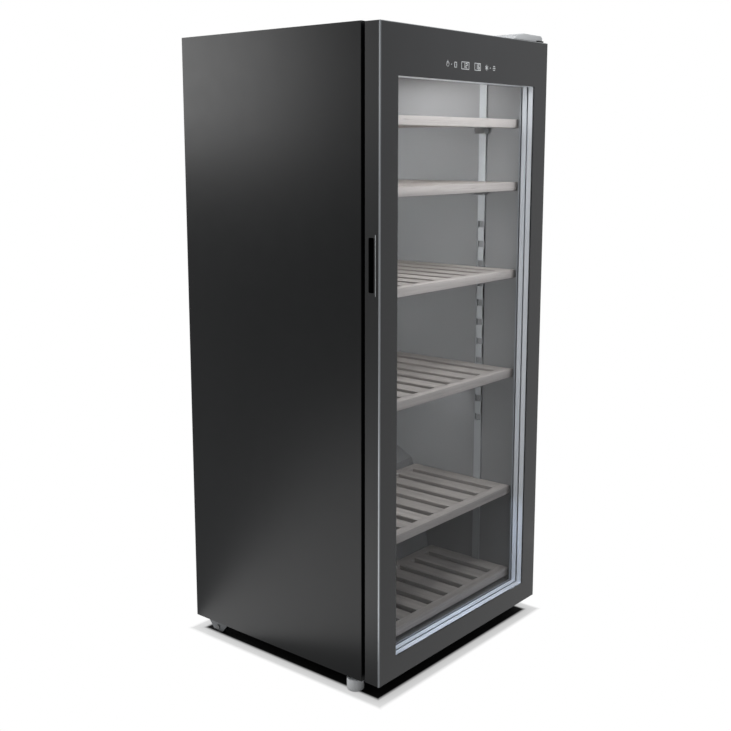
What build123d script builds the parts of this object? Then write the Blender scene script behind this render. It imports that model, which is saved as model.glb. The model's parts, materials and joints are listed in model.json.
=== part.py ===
from build123d import *
import os

os.makedirs("parts", exist_ok=True)

# Driving sizes in millimetres. The front faces -Y, +X is to the right as you face the door,
# and the floor is at Z = 0 under the middle of the cooler.
width = 595.0
depth = 552.0
body_height = 1311.0
foot_height = 34.0

# Cabinet walls, from the outer skin to the inner face of the liner
side_wall = 38.0
floor_wall = 42.0
ceiling_wall = 55.0
rear_wall = 50.0
sheet = 1.0
edge_lip = 14.0
liner_wall = 2.0
liner_round = 10.0
fold_round = 0.8
bead_width = 26.0
bead_share = 0.7
bead_spread = 150.0
foam_setback = 3.0

# Raised floor over the compressor bay, as shares of the inside height
hump_reach_low = 216.0
hump_reach_high = 153.0
hump_ledge = 80.0
hump_knee_share = 0.206
hump_top_share = 0.239
bay_wall = 44.0

# Door
door_thick = 37.5
seal_gap = 9.5
door_margin = 2.0
glass = 4.0
glass_bevel = 1.2
print_layer = 0.3
frame_side = 53.0
frame_top = 99.0
frame_bottom = 50.0
profile_wall = 2.5
spacer_width = 8.0
spacer_sealant = 1.5
front_cavity = 11.7
rear_cavity = 11.0
gasket_width = 16.0
gasket_inset = 18.0
gasket_base = 3.0
gasket_relief = 2.0
gasket_clearance = 0.3

# Grip in the left edge of the door
grip_length = 120.0
grip_width = 24.0
grip_depth = 26.0
grip_wall = 2.5
grip_mouth_length = 106.0
grip_mouth_width = 13.5
grip_height_share = 0.654
grip_corner = 3.0
grip_corner_relief = 0.6

# Controls behind the top of the door
display_rise = 30.5
display_height = 14.0
display_border = 2.0
display_deep = 6.0
display_places = ((-25.5, 26.0), (19.0, 21.0))
board_length = 230.0
board_height = 34.0
board_thick = 1.6
board_post = 3.0

# Hinges
hinge_inset = 16.0
pin_radius = 5.0
running_fit = 0.05
pin_length = 20.0
plug_length = 25.0
cap_length = 15.0
bracket_top = 3.0
bracket_bottom = 4.0
bracket_arm = 12.0
bracket_side_gap = 4.0
bracket_reach = 54.0
bracket_span = 96.0
cover_height = 18.0
cover_wall = 2.0
cover_slope = 22.0
cover_overhang = 2.0

# Screws
screw_radius = 2.0
screw_head_radius = 4.0
screw_head = 2.4
screw_length = 10.0
screw_gap = 0.3
rear_screw_shares = (0.03, 0.17, 0.30, 0.52, 0.75, 0.97)

# Shelves
shelf_levels = (0.0099, 0.180, 0.4152, 0.6087, 0.7743, 0.8904)
short_shelves = 2
shelf_thick = 19.0
shelf_side_gap = 2.0
shelf_front_gap = 3.0
shelf_rear_gap = 4.0
front_rail = 16.0
rear_rail = 24.0
slat_count = 9
slat_gap = 24.0
slat_thick = 15.0
rail_round = 2.0
glue_line = 0.1

# Slotted strips and shelf clips
strip_width = 19.0
strip_thick = 4.0
strip_setback = 97.0
strip_rear_setback = 22.0
strip_end_gap = 30.0
slot_height = 15.6
slot_width = 11.0
slot_count = 11
slot_rise_share = 0.515
slot_pitch_share = 0.03847
clip_reach = 16.0
clip_side = 4.0
clip_height = 12.0
clip_fit = 0.3

# Air duct, cooling coil, fan and lamp inside the cabinet
duct_depth = 60.0
duct_wall = 2.5
duct_side_gap = 26.0
duct_end_gap = 32.0
vent_length = 60.0
vent_height = 6.0
vent_pitch_x = 76.0
vent_pitch_z = 13.0
vent_columns = 5
vent_rows = 4
vent_edge = 58.0
coil_deep = 38.0
coil_high = 260.0
coil_side_gap = 40.0
coil_drop = 150.0
coil_fins = 26
coil_plate = 1.2
coil_tubes = 6
coil_tube = 4.0
fan_radius = 54.0
fan_drop = 215.0
fan_hub = 20.0
fan_blades = 5
fan_blade_chord = 38.0
fan_blade_thick = 2.0
fan_blade_tilt = 28.0
fan_deep = 18.0
fan_front_gap = 4.0
fan_shaft = 2.5
fan_motor_radius = 21.0
fan_motor_deep = 12.0
fan_plate = 3.0
fan_plate_side = 136.0
fan_post = 5.0
fan_post_inset = 10.0
guard_slot = 7.0
guard_pitch = 13.0
guard_slots = 7
lamp_length = 320.0
lamp_width = 40.0
lamp_deep = 9.0
lamp_wall = 2.0
lamp_lens = 3.0
lamp_setback = 45.0

# Machinery in the compressor bay
pan = 1.2
compressor_x = 120.0
compressor_radius = 74.0
compressor_high = 172.0
compressor_dome = 34.0
compressor_seam = 4.0
compressor_seam_height = 108.0
compressor_rear_gap = 16.0
mount_radius = 12.0
mount_high = 14.0
mount_span_x = 160.0
mount_span_y = 104.0
mount_plate = 3.0
mount_plate_edge = 16.0
stub_radius = 5.0
stub_length = 10.0
discharge_height = 130.0
suction_height = 96.0
terminal_width = 56.0
terminal_high = 52.0
terminal_deep = 20.0
terminal_height = 60.0
condenser_width = 180.0
condenser_deep = 90.0
condenser_high = 200.0
condenser_side_gap = 42.0
condenser_rear_gap = 14.0
condenser_plate = 2.0
condenser_fins = 22
condenser_fin = 1.0
condenser_tube = 4.0
pipe_radius = 3.0
capillary_radius = 1.5
pipe_bend = 10.0
drier_radius = 9.5
drier_high = 100.0
drier_neck = 4.0
drier_cone = 12.0
drier_gap = 34.0
drier_rear_gap = 150.0
tray_length = 130.0
tray_width = 80.0
tray_high = 22.0
tray_wall = 2.0
tray_drop = 54.0
drain_radius = 8.0
drain_bore = 6.0
drain_flange = 14.0
drain_flange_thick = 2.0
drain_gap = 0.3
louvre_length = 44.0
louvre_height = 6.0
louvre_columns = 8
louvre_rows = 9
louvre_pitch_x = 60.0
louvre_pitch_z = 20.0
gland_radius = 8.0
gland_flange = 13.0
gland_flange_thick = 2.0
gland_length = 14.0
gland_bore = 4.0
gland_side_gap = 46.0
gland_rise = 26.0

# Feet and rollers
foot_radius = 18.0
foot_inset = 20.0
foot_setback = 33.0
foot_rise = 3.0
foot_gap = 1.0
foot_round = 4.0
stem_length = 24.0
stem_hole_gap = 1.0
socket_side = 32.0
socket_high = 30.0
roller_radius = 15.0
roller_width = 16.0
roller_inset = 24.0
roller_rear_gap = 56.0
roller_side_gap = 1.0
axle_radius = 3.0
axle_head_radius = 5.0
axle_head = 2.0
cheek = 2.0
cheek_low = 30.0
cheek_high = 70.0
cheek_clear = 8.0

# Planes and edges that the pieces share
half_width = width / 2
door_front = -depth / 2
cabinet_front = door_front + door_thick + seal_gap
cabinet_back = depth / 2 - screw_head
cabinet_bottom = foot_height
cabinet_top = foot_height + body_height
inner_half = half_width - side_wall
floor_z = cabinet_bottom + floor_wall
ceiling_z = cabinet_top - ceiling_wall
inner_height = ceiling_z - floor_z
inner_back = cabinet_back - rear_wall
panel_back = cabinet_back - sheet
panel_front = panel_back - sheet
foam_front = cabinet_front + foam_setback
pan_top = cabinet_bottom + pan

hump_low_y = inner_back - hump_reach_low
hump_high_y = inner_back - hump_reach_high
hump_ledge_y = inner_back - hump_ledge
hump_knee_z = floor_z + hump_knee_share * inner_height
hump_top_z = floor_z + hump_top_share * inner_height
bay_low_y = hump_low_y + bay_wall
bay_high_y = hump_high_y + bay_wall
bay_top = hump_top_z - bay_wall

door_bottom = cabinet_bottom + door_margin
door_top = cabinet_top - door_margin
print_back = door_front + glass + print_layer
door_back = door_front + door_thick
window_half = half_width - frame_side
window_bottom = cabinet_bottom + frame_bottom
window_top = cabinet_top - frame_top
pane_overlap = spacer_width + spacer_sealant
pane_half = window_half + pane_overlap
pane_bottom = window_bottom - pane_overlap
pane_top = window_top + pane_overlap
middle_front = print_back + front_cavity
inner_front = middle_front + glass + rear_cavity
bead_front = inner_front + glass

axis_x = half_width - hinge_inset
axis_y = (print_back + door_back) / 2
display_z = window_top + display_rise


def save(builder, name):
    """Label a finished piece and write its file."""
    builder.part.label = name
    export_step(builder.part, f"parts/{name}.step")


def block(low, high, mode=Mode.ADD):
    """Add or cut a box between two opposite corners."""
    size = [b - a for a, b in zip(low, high)]
    with Locations(tuple((a + b) / 2 for a, b in zip(low, high))):
        Box(*size, mode=mode)


def rod(start, direction, radius, length, mode=Mode.ADD):
    """Add or cut a round bar from a start point along a direction."""
    with BuildSketch(Plane(origin=start, z_dir=direction)) as disc:
        Circle(radius)
    extrude(disc.sketch, amount=length, mode=mode)


def profile(points, rounding=0):
    """Face in the YZ plane from (y, z) corners; the hollow corners of a liner can be rounded."""
    with BuildSketch(Plane.YZ) as shape:
        with BuildLine():
            Polyline(*points, close=True)
        make_face()
        if rounding:
            corners = shape.vertices().sort_by(Axis.X)
            fillet([corners[2], *corners[-2:]], rounding)
    return shape.sketch


def rear_screw_points():
    """Places of the screws along both rear lips of the cabinet."""
    return [
        (side * (half_width - edge_lip / 2), cabinet_bottom + share * body_height)
        for side in (-1, 1)
        for share in rear_screw_shares
    ]


def top_screw_points():
    """Places of the screws that hold the upper hinge bracket."""
    left = half_width - bracket_span + edge_lip
    right = half_width - edge_lip - bracket_side_gap
    near = cabinet_front + edge_lip
    far = cabinet_front + bracket_reach - edge_lip
    return [(left, near), (left, far), (right, far)]


def bottom_screw_points():
    """Places of the screws that hold the lower hinge bracket."""
    left = half_width - bracket_span + edge_lip
    near = cabinet_front + edge_lip
    far = cabinet_front + bracket_reach - edge_lip / 2
    return [(left, near), (left, far)]


def foot_points():
    """Centres of the two front feet."""
    return [(side * (half_width - foot_inset), cabinet_front + foot_setback) for side in (-1, 1)]


def liner_points(grow):
    """Corners of the inside of the liner seen from the side, grown outward."""
    return [
        (cabinet_front, floor_z - grow),
        (hump_low_y + grow, floor_z - grow),
        (hump_high_y + grow, hump_knee_z - grow),
        (hump_ledge_y, hump_top_z - grow),
        (inner_back + grow, hump_top_z - grow),
        (inner_back + grow, ceiling_z + grow),
        (cabinet_front, ceiling_z + grow),
    ]


def bay_points(shrink):
    """Corners of the compressor bay seen from the side, drawn in by a sheet."""
    return [
        (bay_low_y + shrink, cabinet_bottom),
        (bay_high_y + shrink, bay_top - shrink),
        (panel_front, bay_top - shrink),
        (panel_front, cabinet_bottom),
    ]


def hump_face(height):
    """How far back the inside reaches at a height near the floor."""
    share = (height - floor_z) / (hump_knee_z - floor_z)
    return hump_low_y + share * (hump_high_y - hump_low_y)


# Folded steel sides
for side, name in ((-1, "side_panel_left"), (1, "side_panel_right")):
    with BuildPart() as side_panel:
        with BuildSketch(Plane.XY.offset(cabinet_bottom)):
            with BuildLine():
                Polyline(
                    (side * (half_width - edge_lip), cabinet_front),
                    (side * half_width, cabinet_front),
                    (side * half_width, cabinet_back),
                    (side * (half_width - edge_lip), cabinet_back),
                    (side * (half_width - edge_lip), panel_back),
                    (side * (half_width - sheet), panel_back),
                    (side * (half_width - sheet), cabinet_front + sheet),
                    (side * (half_width - edge_lip), cabinet_front + sheet),
                    close=True,
                )
            make_face()
        extrude(amount=body_height)
        outer_folds = side_panel.edges().filter_by(Axis.Z).sort_by(lambda edge: side * edge.center().X)
        fillet(outer_folds[-2:], fold_round)
        for x, z in rear_screw_points():
            rod((x, panel_back, z), (0, 1, 0), screw_radius + screw_gap, sheet, Mode.SUBTRACT)
    save(side_panel, name)

with BuildPart() as top_panel:
    block(
        (sheet - half_width, cabinet_front + sheet, cabinet_top - sheet),
        (half_width - sheet, panel_back, cabinet_top),
    )
    block(
        (edge_lip - half_width, cabinet_front, cabinet_top - edge_lip),
        (half_width - edge_lip, cabinet_front + sheet, cabinet_top),
    )
    for x, y in top_screw_points():
        rod((x, y, cabinet_top), (0, 0, -1), screw_radius + screw_gap, sheet, Mode.SUBTRACT)
save(top_panel, "top_panel")

with BuildPart() as back_panel:
    block(
        (sheet - half_width, panel_front, bay_top),
        (half_width - sheet, panel_back, cabinet_top - sheet),
    )
    for x, z in rear_screw_points():
        rod((x, panel_front, z), (0, 1, 0), screw_radius + screw_gap, sheet, Mode.SUBTRACT)
    bead_length = bead_share * (cabinet_top - bay_top)
    for start, mode in ((panel_back, Mode.ADD), (panel_front, Mode.SUBTRACT)):
        with BuildSketch(Plane((0, start, (cabinet_top + bay_top) / 2), (1, 0, 0), (0, 1, 0))) as bead:
            with Locations((-bead_spread, 0), (0, 0), (bead_spread, 0)):
                narrowing = 0 if mode == Mode.ADD else 2 * sheet
                SlotOverall(bead_length - narrowing, bead_width - narrowing, rotation=90)
        extrude(bead.sketch, amount=sheet, mode=mode)
save(back_panel, "back_panel")

with BuildPart() as base_pan:
    block(
        (sheet - half_width, cabinet_front + sheet, cabinet_bottom),
        (half_width - sheet, panel_front, pan_top),
    )
    block(
        (edge_lip - half_width, cabinet_front, cabinet_bottom),
        (half_width - edge_lip, cabinet_front + sheet, cabinet_bottom + edge_lip),
    )
    for x, y in foot_points():
        rod((x, y, cabinet_bottom), (0, 0, 1), pin_radius + stem_hole_gap, pan, Mode.SUBTRACT)
    for x, y in bottom_screw_points():
        rod((x, y, cabinet_bottom), (0, 0, 1), screw_radius + screw_gap, pan, Mode.SUBTRACT)
save(base_pan, "base_pan")

drain_x = compressor_x
drain_y = inner_back - drain_flange - liner_round

# Foam that fills the walls between the skins and the liner
with BuildPart() as insulation_foam:
    block(
        (sheet - half_width, foam_front, pan_top),
        (half_width - sheet, panel_front, cabinet_top - sheet),
    )
    extrude(
        profile(liner_points(liner_wall)),
        amount=inner_half + liner_wall,
        both=True,
        mode=Mode.SUBTRACT,
    )
    extrude(profile(bay_points(0)), amount=half_width, both=True, mode=Mode.SUBTRACT)
    rod(
        (drain_x, drain_y, hump_top_z),
        (0, 0, -1),
        drain_radius + drain_gap,
        bay_wall,
        Mode.SUBTRACT,
    )
    for x, y in foot_points():
        block(
            (x - socket_side / 2, y - socket_side / 2, pan_top),
            (x + socket_side / 2, y + socket_side / 2, pan_top + socket_high),
            Mode.SUBTRACT,
        )
    for x, z in rear_screw_points():
        rod((x, panel_front, z), (0, -1, 0), screw_radius + screw_gap, screw_length, Mode.SUBTRACT)
    for x, y in top_screw_points():
        rod(
            (x, y, cabinet_top - sheet),
            (0, 0, -1),
            screw_radius + screw_gap,
            screw_length,
            Mode.SUBTRACT,
        )
    for x, y in bottom_screw_points():
        rod((x, y, pan_top), (0, 0, 1), screw_radius + screw_gap, screw_length, Mode.SUBTRACT)
save(insulation_foam, "insulation_foam")

# Formed inner box with a raised floor and a flange round its mouth
with BuildPart() as inner_liner:
    extrude(
        profile(liner_points(liner_wall), liner_round + liner_wall),
        amount=inner_half + liner_wall,
        both=True,
    )
    block(
        (edge_lip - half_width, cabinet_front, cabinet_bottom + edge_lip),
        (half_width - edge_lip, cabinet_front + liner_wall, cabinet_top - edge_lip),
    )
    extrude(
        profile(liner_points(0), liner_round),
        amount=inner_half,
        both=True,
        mode=Mode.SUBTRACT,
    )
    rod(
        (drain_x, drain_y, hump_top_z),
        (0, 0, -1),
        drain_radius + drain_gap,
        liner_wall,
        Mode.SUBTRACT,
    )
save(inner_liner, "inner_liner")

# Bent sheet that lines the compressor bay
with BuildPart() as bay_plate:
    extrude(profile(bay_points(0)), amount=half_width - sheet, both=True)
    extrude(profile(bay_points(sheet)), amount=half_width, both=True, mode=Mode.SUBTRACT)
    block(
        (-half_width, cabinet_front, cabinet_bottom),
        (half_width, cabinet_back, pan_top),
        Mode.SUBTRACT,
    )
    rod(
        (drain_x, drain_y, bay_top),
        (0, 0, -1),
        drain_radius + drain_gap,
        sheet,
        Mode.SUBTRACT,
    )
save(bay_plate, "bay_plate")

gland_x = half_width - gland_side_gap
gland_z = pan_top + gland_rise
bay_height = bay_top - cabinet_bottom

with BuildPart() as bay_cover:
    block(
        (sheet - half_width, panel_front, cabinet_bottom),
        (half_width - sheet, panel_back, bay_top),
    )
    with Locations((0, panel_front + sheet / 2, cabinet_bottom + bay_height / 2)):
        with GridLocations(louvre_pitch_x, 0, louvre_columns, 1):
            for row in range(louvre_rows):
                rise = (row - (louvre_rows - 1) / 2) * louvre_pitch_z
                with Locations((0, 0, rise)):
                    Box(louvre_length, sheet, louvre_height, mode=Mode.SUBTRACT)
    for x, z in rear_screw_points():
        rod((x, panel_front, z), (0, 1, 0), screw_radius + screw_gap, sheet, Mode.SUBTRACT)
    rod(
        (gland_x, panel_front, gland_z),
        (0, 1, 0),
        gland_radius + screw_gap,
        sheet,
        Mode.SUBTRACT,
    )
save(bay_cover, "bay_cover")

with BuildPart() as rear_screws:
    for x, z in rear_screw_points():
        rod((x, cabinet_back, z), (0, 1, 0), screw_head_radius, screw_head)
        rod((x, cabinet_back, z), (0, -1, 0), screw_radius, screw_length)
save(rear_screws, "rear_screws")

with BuildPart() as cord_gland:
    rod((gland_x, panel_back, gland_z), (0, 1, 0), gland_flange, gland_flange_thick)
    rod((gland_x, panel_back, gland_z), (0, -1, 0), gland_radius, gland_length)
    rod(
        (gland_x, panel_back + gland_flange_thick, gland_z),
        (0, -1, 0),
        gland_bore,
        gland_length + gland_flange_thick,
        Mode.SUBTRACT,
    )
save(cord_gland, "cord_gland")

# Front feet that screw up and down in sockets on the base
pad_high = foot_height - bracket_bottom - foot_rise - foot_gap
for side, (x, y) in zip(("left", "right"), foot_points()):
    with BuildPart() as front_foot:
        rod((x, y, 0), (0, 0, 1), foot_radius, pad_high)
        fillet(front_foot.edges().group_by(Axis.Z)[0], foot_round)
        rod((x, y, pad_high), (0, 0, 1), pin_radius, pan_top + stem_length - pad_high)
    save(front_foot, f"front_foot_{side}")

with BuildPart() as foot_sockets:
    for x, y in foot_points():
        block(
            (x - socket_side / 2, y - socket_side / 2, pan_top),
            (x + socket_side / 2, y + socket_side / 2, pan_top + socket_high),
        )
        rod((x, y, pan_top), (0, 0, 1), pin_radius + running_fit, socket_high, Mode.SUBTRACT)
save(foot_sockets, "foot_sockets")

# Rear rollers, each between two tapered cheeks
roller_y = panel_front - roller_rear_gap
cheek_x = roller_width / 2 + roller_side_gap
roller_places = [side * (half_width - roller_inset) for side in (-1, 1)]

with BuildPart() as roller_brackets:
    for x in roller_places:
        block(
            (x - cheek_x - cheek, roller_y - cheek_high / 2, cabinet_bottom - cheek),
            (x + cheek_x + cheek, roller_y + cheek_high / 2, cabinet_bottom),
        )
        for start in (x - cheek_x - cheek, x + cheek_x):
            with BuildSketch(Plane.YZ.offset(start)) as cheek_shape:
                with BuildLine():
                    Polyline(
                        (roller_y - cheek_low / 2, cheek_clear),
                        (roller_y + cheek_low / 2, cheek_clear),
                        (roller_y + cheek_high / 2, cabinet_bottom - cheek),
                        (roller_y - cheek_high / 2, cabinet_bottom - cheek),
                        close=True,
                    )
                make_face()
            extrude(cheek_shape.sketch, amount=cheek)
        rod(
            (x - cheek_x - cheek, roller_y, roller_radius),
            (1, 0, 0),
            axle_radius + screw_gap,
            2 * (cheek_x + cheek),
            Mode.SUBTRACT,
        )
save(roller_brackets, "roller_brackets")

with BuildPart() as roller_axles:
    for x in roller_places:
        left_end = x - cheek_x - cheek
        right_end = x + cheek_x + cheek
        rod((left_end, roller_y, roller_radius), (1, 0, 0), axle_radius, right_end - left_end)
        rod((left_end, roller_y, roller_radius), (-1, 0, 0), axle_head_radius, axle_head)
        rod((right_end, roller_y, roller_radius), (1, 0, 0), axle_head_radius, axle_head)
save(roller_axles, "roller_axles")

for side, x in zip(("left", "right"), roller_places):
    with BuildPart() as roller:
        rod((x - roller_width / 2, roller_y, roller_radius), (1, 0, 0), roller_radius, roller_width)
        fillet(roller.edges().filter_by(GeomType.CIRCLE), rail_round)
        rod(
            (x - roller_width / 2, roller_y, roller_radius),
            (1, 0, 0),
            axle_radius + running_fit,
            roller_width,
            Mode.SUBTRACT,
        )
    save(roller, f"roller_{side}")

# Upper hinge: bracket with its pin, cover and screws
bracket_right = half_width - bracket_side_gap
bracket_left = half_width - bracket_span
arm_left = axis_x - bracket_arm

with BuildPart() as hinge_bracket_top:
    block(
        (bracket_left, cabinet_front, cabinet_top),
        (bracket_right, cabinet_front + bracket_reach, cabinet_top + bracket_top),
    )
    block(
        (arm_left, axis_y - bracket_arm, cabinet_top),
        (bracket_right, cabinet_front, cabinet_top + bracket_top),
    )
    rod((axis_x, axis_y, cabinet_top), (0, 0, -1), pin_radius, door_margin + pin_length)
    for x, y in top_screw_points():
        rod((x, y, cabinet_top), (0, 0, 1), screw_radius + screw_gap, bracket_top, Mode.SUBTRACT)
save(hinge_bracket_top, "hinge_bracket_top")

with BuildPart() as hinge_bracket_bottom:
    block(
        (bracket_left, cabinet_front, cabinet_bottom - bracket_bottom),
        (bracket_right, cabinet_front + bracket_reach, cabinet_bottom),
    )
    block(
        (arm_left, axis_y - bracket_arm, cabinet_bottom - bracket_bottom),
        (bracket_right, cabinet_front, cabinet_bottom),
    )
    rod((axis_x, axis_y, cabinet_bottom), (0, 0, 1), pin_radius, door_margin + pin_length)
    right_foot = foot_points()[1]
    rod(
        (*right_foot, cabinet_bottom),
        (0, 0, -1),
        pin_radius + stem_hole_gap,
        bracket_bottom,
        Mode.SUBTRACT,
    )
    for x, y in bottom_screw_points():
        rod(
            (x, y, cabinet_bottom),
            (0, 0, -1),
            screw_radius + screw_gap,
            bracket_bottom,
            Mode.SUBTRACT,
        )
save(hinge_bracket_bottom, "hinge_bracket_bottom")

with BuildPart() as hinge_screws:
    for x, y in top_screw_points():
        rod((x, y, cabinet_top + bracket_top), (0, 0, 1), screw_head_radius, screw_head)
        rod((x, y, cabinet_top + bracket_top), (0, 0, -1), screw_radius, screw_length)
    for x, y in bottom_screw_points():
        rod((x, y, cabinet_bottom - bracket_bottom), (0, 0, -1), screw_head_radius, screw_head)
        rod((x, y, cabinet_bottom - bracket_bottom), (0, 0, 1), screw_radius, screw_length)
save(hinge_screws, "hinge_screws")


def cover_outline(inset):
    """Hinge cover seen from the front, drawn in by its wall."""
    left = bracket_left - cover_slope - cover_overhang
    rise = cabinet_top + cover_height - inset
    return [
        (left + inset, cabinet_top),
        (half_width - cover_overhang - inset, cabinet_top),
        (half_width - cover_overhang - inset, rise),
        (left + cover_slope + inset, rise),
    ]


cover_front = axis_y - bracket_arm - cover_overhang - cover_wall
cover_back = cabinet_front + bracket_reach + cover_overhang + cover_wall

with BuildPart() as hinge_cover:
    for inset, mode in ((0, Mode.ADD), (cover_wall, Mode.SUBTRACT)):
        with BuildSketch(Plane.XZ.offset(-cover_back + inset)) as cover_shape:
            with BuildLine():
                Polyline(*cover_outline(inset), close=True)
            make_face()
        extrude(cover_shape.sketch, amount=cover_back - cover_front - 2 * inset, mode=mode)
    fillet(hinge_cover.edges().group_by(Axis.Z)[-1], rail_round)
save(hinge_cover, "hinge_cover")

# Slotted strips up the walls, and the clips that hook over them
strip_front_y = cabinet_front + strip_setback
strip_rear_y = inner_back - duct_depth - strip_rear_setback
strip_top = ceiling_z - strip_end_gap
wall_sides = (-1, 1)


def strip(side, centre, low, slots):
    """One upright strip on a side wall, with a row of slots through it."""
    wall_x = side * inner_half
    block(
        (min(wall_x, wall_x - side * strip_thick), centre - strip_width / 2, low),
        (max(wall_x, wall_x - side * strip_thick), centre + strip_width / 2, strip_top),
    )
    for height in slots:
        with Locations((wall_x - side * strip_thick / 2, centre, height)):
            Box(strip_thick, slot_width, slot_height, mode=Mode.SUBTRACT)


slot_middle = floor_z + slot_rise_share * inner_height
slot_pitch = slot_pitch_share * inner_height
slot_rows = [slot_middle + (n - (slot_count - 1) / 2) * slot_pitch for n in range(slot_count)]
rear_slot_rows = [z for z in slot_rows if z > hump_top_z + slot_pitch]

with BuildPart() as front_strips:
    for side in wall_sides:
        strip(side, strip_front_y, floor_z + strip_end_gap, slot_rows)
save(front_strips, "shelf_strips_front")

with BuildPart() as rear_strips:
    for side in wall_sides:
        strip(side, strip_rear_y, hump_top_z + strip_end_gap, rear_slot_rows)
save(rear_strips, "shelf_strips_rear")

shelf_bottoms = [floor_z + level * inner_height for level in shelf_levels]
shelf_front = cabinet_front + shelf_front_gap
full_back = inner_back - duct_depth - shelf_rear_gap
shelf_backs = [
    hump_face(z) - shelf_rear_gap if n < short_shelves else full_back
    for n, z in enumerate(shelf_bottoms)
]
clip_half = strip_width / 2 + clip_fit + clip_side
rear_clips = [
    back - rear_rail if n < short_shelves else strip_rear_y
    for n, back in enumerate(shelf_backs)
]

with BuildPart() as shelf_clips:
    for z, rear_y in zip(shelf_bottoms, rear_clips):
        low = max(z - clip_height, floor_z)
        for side in wall_sides:
            wall_x = side * inner_half
            for y in (strip_front_y, rear_y):
                block(
                    (min(wall_x, wall_x - side * clip_reach), y - clip_half, low),
                    (max(wall_x, wall_x - side * clip_reach), y + clip_half, z),
                )
                channel = strip_thick + clip_fit
                block(
                    (min(wall_x, wall_x - side * channel), y - clip_half + clip_side, low),
                    (max(wall_x, wall_x - side * channel), y + clip_half - clip_side, z),
                    Mode.SUBTRACT,
                )
save(shelf_clips, "shelf_clips")

# Wooden shelves: a front rail, a rear rail and slats glued between them
shelf_half = inner_half - shelf_side_gap
slat_width = (2 * shelf_half - (slat_count - 1) * slat_gap) / slat_count
slat_pitch = slat_width + slat_gap
notch_deep = strip_thick + shelf_side_gap
notch_half = strip_width / 2 + shelf_side_gap

for n, (z, back) in enumerate(zip(shelf_bottoms, shelf_backs)):
    shelf_top = z + shelf_thick
    with BuildPart() as shelf:
        block((-shelf_half, shelf_front, z), (shelf_half, shelf_front + front_rail, shelf_top))
        fillet(shelf.edges().filter_by(Axis.X).group_by(Axis.Y)[0], rail_round)
        block((-shelf_half, back - rear_rail, z), (shelf_half, back, shelf_top))
        for k in range(slat_count):
            x = (k - (slat_count - 1) / 2) * slat_pitch
            block(
                (x - slat_width / 2, shelf_front + front_rail + glue_line, shelf_top - slat_thick),
                (x + slat_width / 2, back - rear_rail - glue_line, shelf_top),
            )
        for side in wall_sides:
            wall_x = side * inner_half
            for y in (strip_front_y, strip_rear_y):
                block(
                    (min(wall_x, wall_x - side * notch_deep), y - notch_half, z),
                    (max(wall_x, wall_x - side * notch_deep), y + notch_half, shelf_top),
                    Mode.SUBTRACT,
                )
    save(shelf, f"shelf_{n + 1}")

# Air duct over the cooling coil on the rear wall
duct_half = inner_half - duct_side_gap
duct_front = inner_back - duct_depth
duct_low = hump_top_z + duct_end_gap
duct_high = ceiling_z - duct_end_gap
fan_z = duct_high - fan_drop

with BuildPart() as duct_cover:
    block((-duct_half, duct_front, duct_low), (duct_half, inner_back, duct_high))
    block(
        (duct_wall - duct_half, duct_front + duct_wall, duct_low + duct_wall),
        (duct_half - duct_wall, inner_back, duct_high - duct_wall),
        Mode.SUBTRACT,
    )
    for middle in (duct_low + vent_edge, duct_high - vent_edge):
        for row in range(vent_rows):
            rise = middle + (row - (vent_rows - 1) / 2) * vent_pitch_z
            with Locations((0, duct_front + duct_wall / 2, rise)):
                with GridLocations(vent_pitch_x, 0, vent_columns, 1):
                    Box(vent_length, duct_wall, vent_height, mode=Mode.SUBTRACT)
    for n in range(guard_slots):
        offset = (n - (guard_slots - 1) / 2) * guard_pitch
        reach = (fan_radius**2 - offset**2) ** 0.5
        with Locations((offset, duct_front + duct_wall / 2, fan_z)):
            Box(guard_slot, duct_wall, 2 * reach, mode=Mode.SUBTRACT)
save(duct_cover, "duct_cover")

coil_low = duct_low + coil_drop
coil_left = coil_side_gap - duct_half
coil_right = duct_half - coil_side_gap

with BuildPart() as cooling_coil:
    coil_step = (coil_right - coil_left - coil_plate) / (coil_fins - 1)
    for n in range(coil_fins):
        x = coil_left + n * coil_step
        block((x, inner_back - coil_deep, coil_low), (x + coil_plate, inner_back, coil_low + coil_high))
    for n in range(coil_tubes):
        z = coil_low + (n + 0.5) * coil_high / coil_tubes
        block(
            (coil_left, inner_back - coil_deep / 2 - coil_tube, z - coil_tube),
            (coil_right, inner_back - coil_deep / 2 + coil_tube, z + coil_tube),
        )
save(cooling_coil, "cooling_coil")

rotor_front = duct_front + duct_wall + fan_front_gap
motor_front = rotor_front + fan_deep + fan_front_gap
plate_front = motor_front + fan_motor_deep

with BuildPart() as fan_motor:
    side_half = fan_plate_side / 2
    block(
        (-side_half, plate_front, fan_z - side_half),
        (side_half, plate_front + fan_plate, fan_z + side_half),
    )
    with BuildSketch(Plane(origin=(0, plate_front, fan_z), z_dir=(0, 1, 0))) as air_gap:
        Circle(fan_radius)
        Circle(fan_motor_radius, mode=Mode.SUBTRACT)
        Rectangle(2 * fan_radius, 2 * fan_post, mode=Mode.SUBTRACT)
        Rectangle(2 * fan_post, 2 * fan_radius, mode=Mode.SUBTRACT)
    extrude(air_gap.sketch, amount=fan_plate, mode=Mode.SUBTRACT)
    rod((0, plate_front, fan_z), (0, -1, 0), fan_motor_radius, fan_motor_deep)
    rod((0, motor_front, fan_z), (0, -1, 0), fan_shaft, fan_deep)
    for x in (fan_post_inset - side_half, side_half - fan_post_inset):
        for z in (fan_z + fan_post_inset - side_half, fan_z + side_half - fan_post_inset):
            rod((x, plate_front, z), (0, -1, 0), fan_post, plate_front - duct_front - duct_wall)
save(fan_motor, "fan_motor")

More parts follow.
